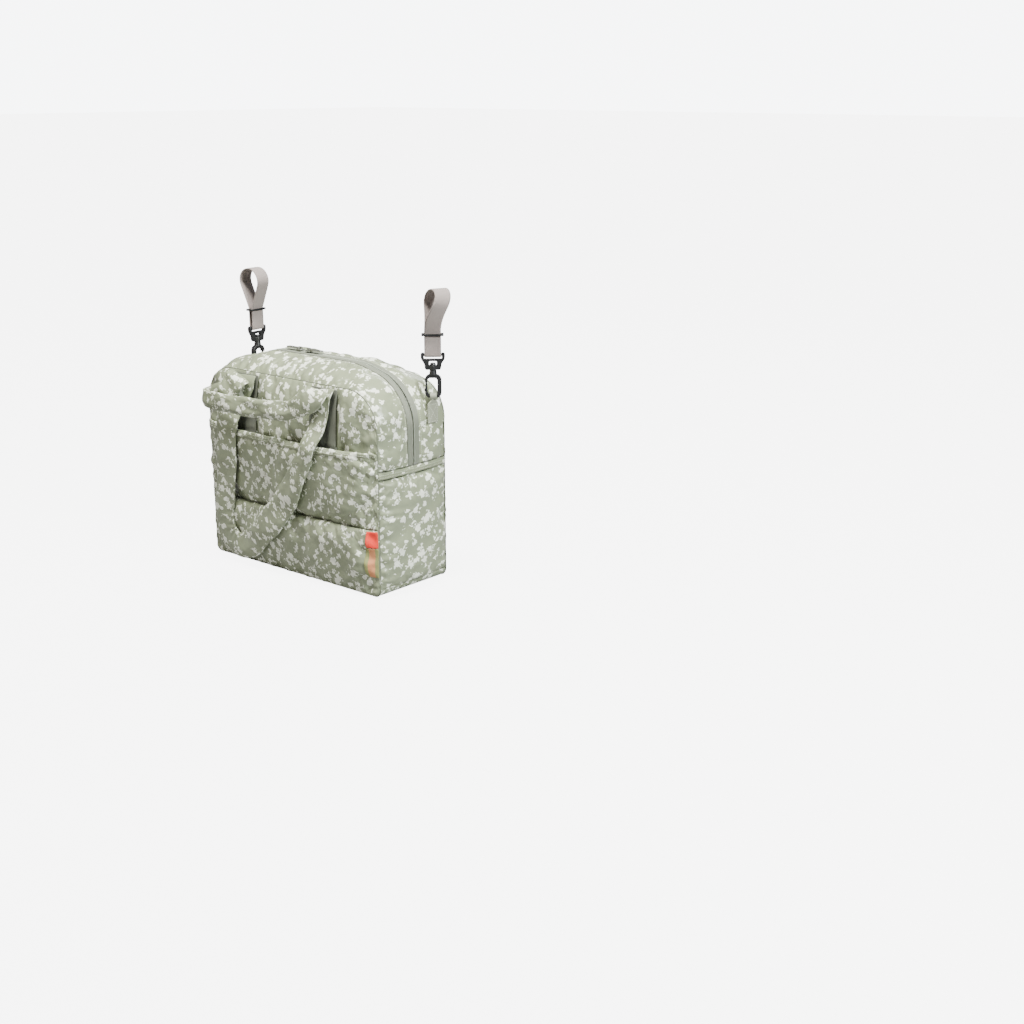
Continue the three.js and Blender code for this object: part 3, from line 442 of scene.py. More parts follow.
def gather(sheet, edges, seed):
    """Puckers along a seam: rounded ridges that start at the stitches and die out over the cloth.

    edges holds, for each edge: how far in from it each point is, the reach, the depth, the pitch.
    """
    rise = np.zeros(sheet["points"].shape[:2])
    for number, (inward, along, reach, depth, pitch) in enumerate(edges):
        start = seed + 1.7 * number
        inward = np.maximum(inward, 0)
        turns = along / pitch + 0.22 * np.sin(along / pitch * 1.9 + start)
        turns = turns + 5 * inward * np.sin(along * 31 + start)
        ridge = np.abs(np.sin(math.pi * turns)) ** 0.8 - 0.55
        strength = np.clip(0.75 + 0.5 * np.sin(along / pitch * 0.83 + 2.3 * start), 0.3, 1.15)
        length = reach * (0.85 + 0.4 * np.sin(along / pitch * 1.31 + 0.9 * start))
        rise += depth * strength * ridge * ease(inward, 0, 0.005) * np.exp(-(inward / length) ** 1.4)
    near = np.min([edge[0] for edge in edges], axis=0)
    u, v = sheet["flat"][..., 0], sheet["flat"][..., 1]
    broad = np.sin(u * 71 + 23 * v + seed) * np.sin(v * 58 - 19 * u + 2 * seed)
    broad += 0.6 * np.sin(u * 133 - 61 * v + 3 * seed)
    rise += 0.0016 * broad * ease(near, 0, 0.03)
    sheet["points"] = sheet["points"] + outward_of(sheet) * rise[..., None]


def hit_from(tree, points, way, far=0.05):
    """Where a ray along way first meets a surface, starting outside it; nan where it misses."""
    way = Vector(way)
    found = np.full(len(points), np.nan)
    for number, point in enumerate(points):
        place = tree.ray_cast(Vector(point) - way * far, way, 2 * far)[0]
        if place is not None:
            found[number] = place.dot(way)
    return found


def press(sheet, nodes, sign):
    """Holds a sheet behind the straps that lie against it."""
    flat_points = sheet["points"].reshape(-1, 3).copy()
    for node in nodes:
        shape = bmesh.new()
        shape.from_mesh(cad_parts[node].data)
        tree = BVHTree.FromBMesh(shape)
        shape.free()
        under = hit_from(tree, flat_points * (1, 0, 1) + (0, sign * 0.06, 0), (0, sign, 0), 0.02)
        limit = under - 0.0012
        out = flat_points[:, 1] * sign
        flat_points[:, 1] = sign * np.where(np.isnan(under) | (out < limit), out, limit)
    sheet["points"] = flat_points.reshape(sheet["points"].shape)


run = half_width - top_radius
past_run = run + top_radius * np.sin(np.linspace(0, math.pi / 2, 15)[1:])
panel_columns = np.concatenate([-past_run[::-1], spaced(-run, run), past_run])


def panel_sheet(size, sign):
    share = spaced(0, 1, cell / height)
    x = panel_columns[:, None] + 0 * share
    foot, top = panel_foot(x), panel_top(x)
    z = foot + (top - foot) * share
    rolled = roll(from_outline(x, z), 0.012)
    y = seam_y + 0.0012 + (half_depth - seam_y - 0.0032 + 0.85 * bulge(x, z, size)) * rolled
    return make_sheet(np.stack([x, sign * y, z], -1), np.stack([x, z], -1), (0, sign, 0), all_round)


# Round the gusset: up the right side, over the top, down the left side.
band_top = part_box("side_band_right")[1].z
turns = np.linspace(0, math.pi / 2, 21)[1:-1]
arm = spaced(band_top, height - top_radius)
arch = [(half_width, z, 1, 0) for z in arm]
arch += [
    (run + top_radius * math.cos(a), height - top_radius + top_radius * math.sin(a), math.cos(a), math.sin(a))
    for a in turns
]
arch += [(x, height, 0, 1) for x in spaced(run, -run)]
arch += [(-x, z, -nx, nz) for x, z, nx, nz in reversed(arch[:len(arm) + len(turns)])]
arch = np.array(arch)
arch_length = lengths(arch[:, :2])


def gusset_rise(x, y):
    crown = top_crown + (side_crown - top_crown) * ease(np.abs(x), 0.075, half_width)
    return crown * (1 - (y / seam_y) ** 2)


def arch_sheet(depths, lift, outward, edges=(0, 0, 0, 0)):
    """A strip that runs round the arch between two depths, lifted off the gusset's surface."""
    x, z, nx, nz = (arch[:, k][:, None] + 0 * depths for k in range(4))
    y = depths + 0 * x
    out = gusset_rise(x, y) + lift
    points = np.stack([x + nx * out, y, z + nz * out], -1)
    flat = np.stack([arch_length[:, None] + 0 * depths, y * 1.1], -1)
    return make_sheet(points, flat, outward, edges)


def side_sheet(sign, low, high, lift, edges=(0, 0, 0, 0)):
    depths = spaced(-seam_y - 0.0008, seam_y + 0.0008)
    z = spaced(low, high)[:, None] + 0 * depths
    y = depths + 0 * z
    x = sign * (half_width + gusset_rise(half_width, np.clip(y, -seam_y, seam_y)) + lift)
    return make_sheet(np.stack([x + 0 * z, y, z], -1), np.stack([z, y], -1), (sign, 0, 0), edges)


all_round = (1, 1, 1, 1)
zip_side = (1, 1, 2, 1)
strip_depths = spaced(zip_half, seam_y + 0.0008)
side_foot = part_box("side_gusset_right")[0].z
side_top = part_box("side_gusset_right")[1].z
shell = {
    "front_panel": panel_sheet(front_bulge, -1),
    "back_panel": panel_sheet(back_bulge, 1),
    "gusset_front_strip": arch_sheet(-strip_depths, -0.001, (0, 0, 1), zip_side),
    "gusset_back_strip": arch_sheet(strip_depths, -0.001, (0, 0, 1), zip_side),
    "side_gusset_right": side_sheet(1, side_foot, side_top, -0.001, all_round),
    "side_gusset_left": side_sheet(-1, side_foot, side_top, -0.001, all_round),
}

# Front slip pocket: a deep pocket between two layers, sewn into the side seams. Below it the
# lower panel is sewn on with a puffed edge. The pocket's mouth is a folded, stitched hem.

pocket_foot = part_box("front_pocket")[0].z
pocket_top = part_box("front_pocket")[1].z
pocket_half = half_width - 0.0015
pocket_skin = 0.003
pocket_gape = 0.009
lower_puff = 0.0045
front_columns = pocket_half * np.sin(np.linspace(-math.pi / 2, math.pi / 2, 120))


def pocket_out(x, z):
    gape = pocket_gape * swell(x, pocket_half) * ease(z, pocket_foot, pocket_top)
    return half_depth + bulge(x, z, front_bulge) + 0.0003 + gape + pocket_skin


def lower_out(x, z):
    puff = lower_puff * swell(x, pocket_half, 4) * ease(z, 0, pocket_foot)
    return half_depth + bulge(x, z, front_bulge) + 0.0003 + pocket_skin + puff


def front_sheet(low, high, out, edge_roll, edges, step=cell):
    heights = spaced(low, high, step)
    z = heights + 0 * front_columns[:, None]
    squeeze = (half_width - np.maximum(0, base_radius - np.sqrt(
        np.maximum(base_radius**2 - np.maximum(base_radius - z, 0) ** 2, 0)
    ))) / half_width
    x = front_columns[:, None] * squeeze
    rolled = roll(pocket_half * squeeze - np.abs(x), 0.013) * edge_roll(z)
    base = seam_y + 0.0022
    y = -(base + (out(x, z) - 0.0015 - base) * rolled)
    return make_sheet(np.stack([x, y, z], -1), np.stack([x, z], -1), (0, -1, 0), edges)


shell["front_pocket"] = front_sheet(
    pocket_foot, pocket_top, pocket_out,
    lambda z: 0.62 + 0.38 * roll(z - pocket_foot, 0.012), all_round,
)
shell["front_lower_panel"] = front_sheet(
    0.0015, pocket_foot + 0.001, lower_out,
    lambda z: roll(z, 0.013) * (0.7 + 0.3 * roll(pocket_foot + 0.001 - z, 0.008)), all_round,
)
hidden = shell["front_panel"]
hidden["held"] |= hidden["points"][..., 2] < pocket_top - 0.018

billow(list(shell.values()), 0.1, 2.2, 24)

# The cloth has no room to swell under the handles' sewn ends.
handle_x = (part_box("handle_anchor_front_right")[0].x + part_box("handle_anchor_front_right")[1].x) / 2
handle_room = 0.0012
panel_room = 0.008
for name, sign, size in (("front_panel", -1, front_bulge), ("back_panel", 1, back_bulge)):
    sheet = shell[name]
    x, z = sheet["flat"][..., 0], sheet["flat"][..., 1]
    free = np.maximum(ease(np.abs(np.abs(x) - handle_x), 0.026, 0.04), ease(0.195 - z, 0, 0.01))
    settle(sheet, handle_room + (panel_room - handle_room) * free)
    around = np.arctan2(z - height / 2, x) * 0.2
    gather(sheet, [(from_outline(x, z), around, 0.024, 0.003, 0.014)], 1.0 + sign)
    unswollen = panel_sheet(size, sign)["points"]
    sheet["points"] = unswollen + (sheet["points"] - unswollen) * free[..., None]
for name, seed in (("gusset_front_strip", 3.1), ("gusset_back_strip", 4.7)):
    sheet = shell[name]
    settle(sheet, 0.0055)
    along, depth = sheet["flat"][..., 0], np.abs(sheet["points"][..., 1])
    gather(sheet, [
        (seam_y - depth, along, 0.022, 0.0032, 0.015),
        (depth - zip_half - cell, along, 0.014, 0.0018, 0.012),
        (along, sheet["flat"][..., 1], 0.024, 0.0022, 0.012),
        (arch_length[-1] - along, sheet["flat"][..., 1], 0.024, 0.0022, 0.012),
    ], seed)
# Round each side loop's stitched tab the back strip stays where the tab holds it.
tab_low, tab_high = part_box("side_loop_right")
strip = shell["gusset_back_strip"]
held_flat = arch_sheet(strip_depths, -0.001, (0, 0, 1))["points"]
outside = np.maximum.reduce([
    tab_low.y - held_flat[..., 1], held_flat[..., 1] - tab_high.y,
    tab_low.z - held_flat[..., 2], held_flat[..., 2] - tab_high.z,
    tab_low.x - 0.01 - np.abs(held_flat[..., 0]),
])
strip["points"] = held_flat + (strip["points"] - held_flat) * ease(outside, 0.002, 0.014)[..., None]
for name, seed in (("side_gusset_right", 0.6), ("side_gusset_left", 2.2)):
    sheet = shell[name]
    settle(sheet, 0.009, 0.008)
    y, z = sheet["points"][..., 1], sheet["points"][..., 2]
    gather(sheet, [
        (seam_y - y, z, 0.026, 0.0034, 0.017),
        (seam_y + y, z + 0.01, 0.034, 0.0046, 0.015),
        (side_top - z, y, 0.036, 0.0042, 0.014),
        (z - side_foot, y, 0.028, 0.0036, 0.016),
    ], seed)
for name, seed, room_in, reach, depth, top_reach in (
    ("front_pocket", 1.4, 0.006, 0.036, 0.0046, 0.012),
    ("front_lower_panel", 5.2, 0.005, 0.032, 0.004, 0.022),
):
    sheet = shell[name]
    settle(sheet, 0.005, room_in)
    x, z = sheet["points"][..., 0], sheet["points"][..., 2]
    low_edge, high_edge = z.min(), z.max()
    gather(sheet, [
        (pocket_half - x, z, reach, depth, 0.0155),
        (pocket_half + x, z, reach, depth, 0.0165),
        (z - low_edge, x, 0.02, 0.0022, 0.014),
        (high_edge - z, x, top_reach, 0.0016, 0.015),
    ], seed)
for name in ("front_panel", "front_pocket", "front_lower_panel"):
    press(shell[name], ("handle_front_long", "handle_front_short"), -1)
press(shell["back_panel"], ("handle_back_long", "handle_back_short"), 1)


def sew(name, sheet, material, thick, node):
    """Makes a sheet into a closed piece of cloth with rounded edges, in place of a node."""
    mesh = bpy.data.meshes.new(name)
    mesh.from_pydata(sheet["points"].reshape(-1, 3).tolist(), [], sheet["faces"].tolist())
    cloth = mesh.uv_layers.new(name="cloth")
    cloth.data.foreach_set("uv", sheet["flat"].reshape(-1, 2)[sheet["faces"].ravel()].ravel())
    mesh.materials.append(material)
    mesh.shade_smooth()
    piece = in_scene(name, mesh)
    wall = piece.modifiers.new("wall", "SOLIDIFY")
    wall.thickness = thick
    wall.offset = -1
    soft = piece.modifiers.new("soft", "SUBSURF")
    soft.levels = soft.render_levels = 1
    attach(piece, "bag")
    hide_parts(node)
    return piece


panel_thick = 0.0018
panels = {
    name: sew(name + "_cloth", sheet, print_material, panel_thick, name)
    for name, sheet in shell.items()
}

# Hem of the pocket: the mouth's cloth folded over once and stitched down.
hem_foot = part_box("front_pocket_hem")[0].z
pocket = shell["front_pocket"]
mouth_rows = np.flatnonzero(pocket["points"][0, :, 2] > hem_foot - 0.001)
hem_points = pocket["points"][:, mouth_rows].copy()
hem_points[..., 1] -= 0.0017
hem_points[:, -1, 2] += 0.0008
hem = make_sheet(hem_points, pocket["flat"][:, mouth_rows] + (0.4, 0.3), (0, -1, 0))
sew("pocket_hem", hem, print_material, 0.0038, "front_pocket_hem")

# Seam band on each side, where the zipped gusset meets the lower one: a narrow tuck of the print.
band_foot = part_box("side_band_right")[0].z
band_rows = {}
for side, sign in (("right", 1), ("left", -1)):
    band = side_sheet(sign, band_foot, band_top, 0)
    y, z = band["points"][..., 1], band["points"][..., 2]
    tuck = roll(np.minimum(z - band_foot, band_top - z), 0.003)
    pucker = 0.0004 * np.sin(y * 620) + 0.0003 * np.sin(y * 1130 + 1)
    band["points"][..., 0] += sign * (0.0012 * tuck + pucker * tuck)
    sew(f"seam_band_{side}", band, print_material, 0.002, f"side_band_{side}")
    band_rows[side] = [band["points"][row] + (sign * 0.0002, 0, 0) for row in (1, -2)]


def foot_corner(count):
    """The outline's rounded foot, from the side down to the ground."""
    return [
        (half_width - base_radius + base_radius * math.cos(a), base_radius - base_radius * math.sin(a))
        for a in np.linspace(0, math.pi / 2, count)
    ]


# Base: one panel that turns up at both ends and lies flat on whatever the bag stands on.
base_turn = np.array(foot_corner(8))
flat_x = spaced(half_width - base_radius, base_radius - half_width, 0.006)[1:-1]
base_line = np.concatenate([base_turn, np.stack([flat_x, 0 * flat_x], -1), base_turn[::-1] * (-1, 1)])
base_length = lengths(base_line)[:, None]
y = spaced(-seam_y - 0.001, seam_y + 0.001, 0.006)
x, z, y = np.broadcast_arrays(base_line[:, :1], base_line[:, 1:], y)
z = z + 0.0006 * ease(np.abs(y), seam_y - 0.008, seam_y)
base = make_sheet(np.stack([x, y, z], -1), np.stack([base_length + 0 * y, y], -1), (0, 0, -1))
sew("base_cloth", base, print_material, panel_thick, "base_panel")


def loft(name, rings, material, closed=True, lay=None):
    """A skin over rings of points, closed on itself or capped at both ends.

    lay is the rings' place on the flat cloth, with one point more than a ring has, where it meets.
    """
    count, corners = rings.shape[:2]
    index = np.arange(count * corners).reshape(count, corners)
    near, ahead = (index, np.roll(index, -1, 0)) if closed else (index[:-1], index[1:])
    quads = np.stack([near, np.roll(near, -1, 1), np.roll(ahead, -1, 1), ahead], -1).reshape(-1, 4)
    caps = [] if closed else [index[0][::-1].tolist(), index[-1].tolist()]
    mesh = bpy.data.meshes.new(name)
    mesh.from_pydata(rings.reshape(-1, 3).tolist(), [], quads.tolist() + caps)
    if lay is not None:
        start, end = (lay, np.roll(lay, -1, 0)) if closed else (lay[:-1], lay[1:])
        loops = np.stack([start[:, :-1], start[:, 1:], end[:, 1:], end[:, :-1]], 2).reshape(-1, 2)
        loops = np.concatenate([loops, np.zeros((len(caps) * corners, 2))])
        mesh.uv_layers.new(name="cloth").data.foreach_set("uv", loops.ravel())
    shape = bmesh.new()
    shape.from_mesh(mesh)
    bmesh.ops.recalc_face_normals(shape, faces=shape.faces)
    shape.to_mesh(mesh)
    shape.free()
    mesh.materials.append(material)
    mesh.shade_smooth()
    return in_scene(name, mesh)


def plain_cloth(name, colour, threads, depth, rough, coordinates="Object", creases=30.0,
                crease_depth=0.0006, side_on=False):
    """Single-colour cloth: a weave, slight creases and an uneven shade.

    side_on is for cloth that hangs in the plane of the bag's side.
    """
    material, tree, shader, place = new_material(name, coordinates)
    if side_on:
        split = add_node(tree, "ShaderNodeSeparateXYZ", [place]).outputs
        place = add_node(tree, "ShaderNodeCombineXYZ", [split[1], split[2], split[0]]).outputs[0]
    normal, shade = cloth_bump(tree, place, threads, depth, creases, crease_depth)
    uneven = sums(tree, "MULTIPLY", shade, 0.6)
    fill(tree, shader, {
        "Base Color": mixed(tree, uneven, colour, darker(colour, 0.7)), "Normal": normal,
        "Roughness": rough, "Sheen Weight": 0.15,
    })
    return material


# Turned seams: a thin dark tube round front and back is painted shade, standing in for the shadow line in
# each seam's valley.
seam_shadow_cloth = plain_cloth("painted_seam_shadow_cloth", (0.15, 0.165, 0.115, 1), 1200.0, 0.0001, 0.85)
seam_shadow_radius = 0.0007
rim_foot = foot_corner(7)
outline = [(x, z) for x, z in zip(panel_columns, panel_top(panel_columns))]
outline += rim_foot + [(x, 0) for x in spaced(half_width - base_radius, base_radius - half_width, 0.01)[1:-1]]
outline += [(-x, z) for x, z in reversed(rim_foot)]
angles = (np.arange(8) * 2 * math.pi / 8)[:, None]
for face, sign in (("front", -1), ("back", 1)):
    line = np.array([(x, sign * (seam_y + 0.0006), max(z, 0.0011)) for x, z in outline])
    ahead = unit(np.roll(line, -1, 0) - np.roll(line, 1, 0))
    side = unit(np.cross(ahead, (0.0, 1.0, 0.001)))
    over = np.cross(side, ahead)
    ring = side[:, None] * np.cos(angles) + over[:, None] * np.sin(angles)
    seam = loft(f"{face}_seam", line[:, None] + ring * seam_shadow_radius, seam_shadow_cloth)
    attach(seam, "bag")

# ---------------------------------------------------------------- carrying handles
# Four soft straps, each a folded tube of the printed cloth round a thin pad. Their ends are sewn
# flat into the top seams; below that each one gathers, twists and creases where it turns.


def strap_rings(node):
    """The centre, width, thickness and directions of a strap's sections, end to end."""
    shape = bmesh.new()
    shape.from_mesh(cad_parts[node].data)
    bmesh.ops.remove_doubles(shape, verts=shape.verts, dist=1e-6)
    shape.verts.ensure_lookup_table()
    hub = max(shape.verts, key=lambda v: (len(v.link_edges), v.co.x))
    facing = [f.normal.copy() for f in hub.link_faces]
    cap = max(facing, key=lambda n: sum(n.dot(m) > 0.999 for m in facing))
    ring = {v for f in hub.link_faces if f.normal.dot(cap) > 0.999 for v in f.verts}
    seen, found = set(), []
    while ring:
        seen |= ring
        found.append(np.array([v.co[:] for v in sorted(ring, key=lambda v: v.index)]))
        ring = {e.other_vert(v) for v in ring for e in v.link_edges} - seen
    shape.free()
    rings = []
    side = None
    for points in found:
        centre = points.mean(0)
        axes = np.linalg.svd(points - centre, full_matrices=False)[2]
        across, flat = axes[0], axes[1]
        if side is not None and np.dot(across, side) < 0:
            across = -across
        side = across
        reach = np.abs((points - centre) @ across).max()
        thick = np.abs((points - centre) @ flat).max()
        rings.append((centre, across, reach, thick))
    return rings


def finished_mesh(piece):
    """Turns the piece's modifiers into plain mesh."""
    baked = bpy.data.meshes.new_from_object(piece.evaluated_get(bpy.context.evaluated_depsgraph_get()))
    piece.modifiers.clear()
    piece.data = baked
    baked.shade_smooth()
    return piece


def folded_strap(name, node, seed, plump, corners=36, step=0.0032):
    """A padded tube of cloth laid flat, gathered into lengthwise folds where it is narrow."""
    outward = (0, -1 if "front" in node else 1, 0)
    rings = strap_rings(node)
    centres = np.array([r[0] for r in rings])
    travelled = np.concatenate([[0], np.cumsum(np.linalg.norm(np.diff(centres, axis=0), axis=1))])
    length = np.linspace(0, travelled[-1], round(travelled[-1] / step) + 1)

    def along(values):
        values = np.asarray(values, float).reshape(len(travelled), -1)
        return np.stack([np.interp(length, travelled, column) for column in values.T], -1)

    centre = along(centres)
    for _ in range(3):
        centre[1:-1] = (centre[:-2] + 2 * centre[1:-1] + centre[2:]) / 4
    ahead = unit(np.gradient(centre, axis=0))
    across = along([r[1] for r in rings])
    across = unit(across - (across * ahead).sum(1, keepdims=True) * ahead)
    flat = np.cross(ahead, across)
    reach = along([r[2] for r in rings])
    thick = along([r[3] for r in rings])
    bend = (np.gradient(ahead, axis=0) * across).sum(1, keepdims=True) / step
    angle = np.arange(corners) * 2 * math.pi / corners
    wide = np.sign(np.cos(angle)) * np.abs(np.cos(angle)) ** 0.8
    deep = np.sign(np.sin(angle)) * np.abs(np.sin(angle)) ** 0.62
    place = length[:, None]
    narrow = np.clip(1 - reach * 2 / 0.056, 0, 0.6) + 0.16
    wander = 1.1 * np.sin(place * 21 + seed) + 0.7 * np.sin(place * 47 + 2.1 * seed)
    folds = np.sin(wide * 4.6 + wander) * narrow + 0.4 * np.sin(wide * 9.5 - 1.7 * wander) * narrow
    inside = np.clip(wide * np.sign(bend) * 1.2, 0, 1) * np.clip(np.abs(bend) * 0.06, 0, 1)
    creases = inside * np.sin(place * 2 * math.pi / 0.0125 + 1.5 * wide + wander)
    slack = 0.6 * np.sin(place * 104 + wide * 2.6 + seed) * np.sin(place * 37 + 3 * wide + 2 * seed)
    slack += 0.5 * np.sin(place * 61 - wide * 3.4 + 2.2 * seed)
    stitched = np.clip(np.minimum(place, length[-1] - place) / 0.02, 0, 1)
    wave = (0.8 * folds + 0.8 * creases + 0.3 * slack) * stitched
    outer = np.clip((flat @ np.array(outward))[:, None] * np.sign(deep), 0, 1) * stitched
    swollen = 1 + plump * outer * (1 - 0.6 * np.abs(wide) ** 3)
    lift = deep * (0.7 + 0.14 * np.sin(place * 73 + 2 * wide)) * swollen
    lift += 0.42 * wave * (1 - 0.4 * np.abs(wide))
    edge = wide * (1 - 0.09 * np.abs(np.sin(place * 48 + seed)) * stitched)
    points = centre[:, None] + across[:, None] * (edge * reach)[..., None]
    points += flat[:, None] * (np.clip(lift, -1.2 - plump * outer, 1.2 + plump * outer) * thick)[..., None]
    girth = np.arange(corners + 1) * 2 * 0.06 / corners
    lay = np.stack(np.broadcast_arrays(place, girth), -1)
    piece = loft(name, points, print_material, closed=False, lay=lay)
    soft = piece.modifiers.new("soft", "SUBSURF")
    soft.levels = soft.render_levels = 1
    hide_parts(node)
    return finished_mesh(piece)


for face, sign in (("front", -1), ("back", 1)):
    for size, seed, plump in (("long", 1.0, 0.9), ("short", 2.6, 1.6)):
        node = f"handle_{face}_{size}"
        handle = folded_strap(f"{face}_{size}_handle", node, seed + sign, plump)
        if size == "long":
            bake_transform(handle)
        else:
            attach(handle, node)

# Anchors: strips of plain darker cloth, sewn into the top seam under each handle end. The front
# ones run down behind the pocket's mouth and are creased there.
anchor_cloth = plain_cloth("anchor_cloth", (0.1, 0.108, 0.08, 1), 1300.0, 0.0001, 0.8, "UV", 40.0, 0.0012)
for face, sign, size in (("front", -1, front_bulge), ("back", 1, back_bulge)):
    for side in ("right", "left"):
        node = f"handle_anchor_{face}_{side}"
        low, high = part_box(node)
        x = spaced(low.x, high.x, 0.0035)[:, None]
        z = spaced(low.z, high.z, 0.0035)[None]
        x, z = x + 0 * z, z + 0 * x
        y = half_depth + bulge(x, z, size) + 0.0018
        y += 0.0006 * np.sin(z * 420 + 8 * x) * ease(0.24 - z, 0, 0.03)
        y += 0.0003 * np.sin(x * 300 + z * 60)
        strip = make_sheet(np.stack([x, sign * y, z], -1), np.stack([x, z], -1), (0, sign, 0))
        sew(f"anchor_{face}_{side}", strip, anchor_cloth, 0.0014, node)

# ---------------------------------------------------------------- zip
# A coil zip runs over the top from seam band to seam band: two ribbed tapes, two rows of coil
# turns that mesh at the middle, metal stops at the ends, and two sliders that meet on the crest.

tape_cloth = plain_cloth(
    "zip_tape_cloth", (0.2, 0.215, 0.165, 1), 1500.0, 0.00015, 0.75, "UV", crease_depth=0.0002,
)
coil_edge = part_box("zip_coil_back")[1].y
for face, sign in (("front", -1), ("back", 1)):
    depths = sign * np.linspace(coil_edge + 0.0003, zip_half - 0.0002, 34)
    ribs = 0.0005 * np.cos((np.abs(depths) - coil_edge) * 2 * math.pi / 0.0021)
    tape = arch_sheet(depths, -0.0012 + ribs, (0, 0, 1))
    sew(f"zip_tape_{face}_cloth", tape, tape_cloth, 0.0008, f"zip_tape_{face}")

laid_row = bpy.data.node_groups.new("laid_in_a_row", "GeometryNodeTree")
for label, kind, way in (
    ("Geometry", "NodeSocketGeometry", "INPUT"), ("Pitch", "NodeSocketFloat", "INPUT"),
    ("Size", "NodeSocketVector", "INPUT"), ("Finish", "NodeSocketMaterial", "INPUT"),
    ("Geometry", "NodeSocketGeometry", "OUTPUT"),
):
    laid_row.interface.new_socket(label, in_out=way, socket_type=kind)
row_in = laid_row.nodes.new("NodeGroupInput").outputs
row_out = laid_row.nodes.new("NodeGroupOutput").inputs
lines_in = add_node(laid_row, "GeometryNodeMeshToCurve", [row_in["Geometry"]]).outputs[0]
places = add_node(laid_row, "GeometryNodeCurveToPoints", {
    "Curve": lines_in, "Length": row_in["Pitch"],
}, mode="LENGTH").outputs
turned_along = add_node(laid_row, "FunctionNodeAlignRotationToVector", {
    "Vector": places["Tangent"],
}, axis="X", pivot_axis="AUTO").outputs[0]
turned_over = add_node(laid_row, "FunctionNodeAlignRotationToVector", {
    "Rotation": turned_along, "Vector": (0, 1, 0),
}, axis="Y", pivot_axis="X").outputs[0]
bead = add_node(laid_row, "GeometryNodeMeshUVSphere", {"Segments": 6, "Rings": 5, "Radius": 0.5}).outputs[0]
laid = add_node(laid_row, "GeometryNodeInstanceOnPoints", {
    "Points": places["Points"], "Instance": bead, "Rotation": turned_over, "Scale": row_in["Size"],
}).outputs[0]
plain = add_node(laid_row, "GeometryNodeRealizeInstances", [laid]).outputs[0]
finished = add_node(laid_row, "GeometryNodeSetMaterial", {
    "Geometry": plain, "Material": row_in["Finish"],
}).outputs[0]
laid_row.links.new(finished, row_out[0])


def rows_of(name, lines, pitch, size, finish, body):
    """Small rounded pieces laid in rows along lines of points, such as stitches or coil turns."""
    points, edges = [], []
    for line in lines:
        start = len(points)
        points += [tuple(p) for p in line]
        edges += [(k, k + 1) for k in range(start, len(points) - 1)]
    mesh = bpy.data.meshes.new(name)
    mesh.from_pydata(points, edges, [])
    piece = in_scene(name, mesh)
    maker = piece.modifiers.new("row", "NODES")
    maker.node_group = laid_row
    values = {"Pitch": pitch, "Size": size, "Finish": finish}
    for socket in laid_row.interface.items_tree:
        if socket.in_out == "INPUT" and socket.name in values:
            maker[socket.identifier] = values[socket.name]
    finished_mesh(piece)
    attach(piece, body)
    return piece


def plastic(name, colour, rough):
    """Moulded plastic: a fine grain, with rubbed, shinier places."""
    material, tree, shader, place = new_material(name, "Object")
    grains = noise(tree, place, 900.0, 2.0)[0]
    rubbed = noise(tree, place, 160.0, 3.0)[0]
    paler = tuple(min(1, c * 1.5 + 0.004) for c in colour[:3]) + (1,)
    fill(tree, shader, {
        "Base Color": mixed(tree, rubbed, colour, paler), "Normal": raised(tree, grains, 0.00004, 0.5),
        "Roughness": sums(tree, "MULTIPLY_ADD", rubbed, 0.25, rough - 0.12),
    })
    return material


coil_plastic = plastic("coil_plastic", (0.24, 0.26, 0.205, 1), 0.5)
coil_pitch = 0.0013
coil_turn = (0.0011, 0.0026, 0.002)
for face, sign in (("front", -1), ("back", 1)):
    node = f"zip_coil_{face}"
    depth = sign * (coil_edge + 0.0008) / 2
    x, z, nx, nz = arch.T
    out = gusset_rise(x, depth) - 0.0014
    line = np.stack([x + nx * out, depth + 0 * x, z + nz * out], -1)
    coil = rows_of(f"coil_{face}", [line], coil_pitch, coil_turn, coil_plastic, "bag")
    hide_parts(node)


def moulded(name, node, body, material, voxel, softening):
    """A hard piece with the rounded edges that a mould or a die gives it."""
    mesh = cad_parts[node].data.copy()
    mesh.name = name
    shape = bmesh.new()
    shape.from_mesh(mesh)
    bmesh.ops.remove_doubles(shape, verts=shape.verts, dist=2e-6)
    shape.to_mesh(mesh)
    shape.free()
    mesh.materials.clear()
    mesh.materials.append(material)
    piece = in_scene(name, mesh)
    grain = piece.modifiers.new("grain", "REMESH")
    grain.mode = "VOXEL"
    grain.voxel_size = voxel
    rounding = piece.modifiers.new("rounding", "SMOOTH")
    rounding.factor = 0.5
    rounding.iterations = softening
    finished_mesh(piece)
    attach(piece, body)
    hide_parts(node)
    return piece


# Plated die-cast metal with fine brushing and duller patches.
zip_metal, tree, shader, place = new_material("zip_metal", "Object")
metal = (0.42, 0.43, 0.38, 1)
brushed = add_node(tree, "ShaderNodeMapping", {"Vector": place, "Scale": (120, 2500, 2500)}).outputs[0]
brush = noise(tree, brushed, 1.0, 2.0)[0]
dull = noise(tree, place, 220.0, 3.0)[0]
fill(tree, shader, {
    "Base Color": mixed(tree, dull, metal, darker(metal, 0.72)), "Normal": raised(tree, brush, 0.00002, 0.3),
    "Roughness": sums(tree, "MULTIPLY_ADD", dull, 0.25, 0.38 - 0.1), "Metallic": 0.9,
})
for letter in "ab":
    moulded(f"slider_{letter}", f"zip_slider_{letter}", f"zip_slider_{letter}", zip_metal, 0.00025, 3)
    moulded(f"pull_{letter}", f"zip_pull_{letter}", f"zip_pull_{letter}", zip_metal, 0.00028, 3)
for side in ("right", "left"):
    moulded(f"stop_{side}", f"zip_stop_{side}", "bag", zip_metal, 0.0002, 3)

# ---------------------------------------------------------------- seam stitches and side tabs
# Lockstitch in a thread that matches the cloth: two rows along the pocket's hem, one on each edge
# of the seam bands, and one beside the zip. Two small ribbon tabs are caught in the front right
# seam, one coral and one tan, folded double, with no lettering.

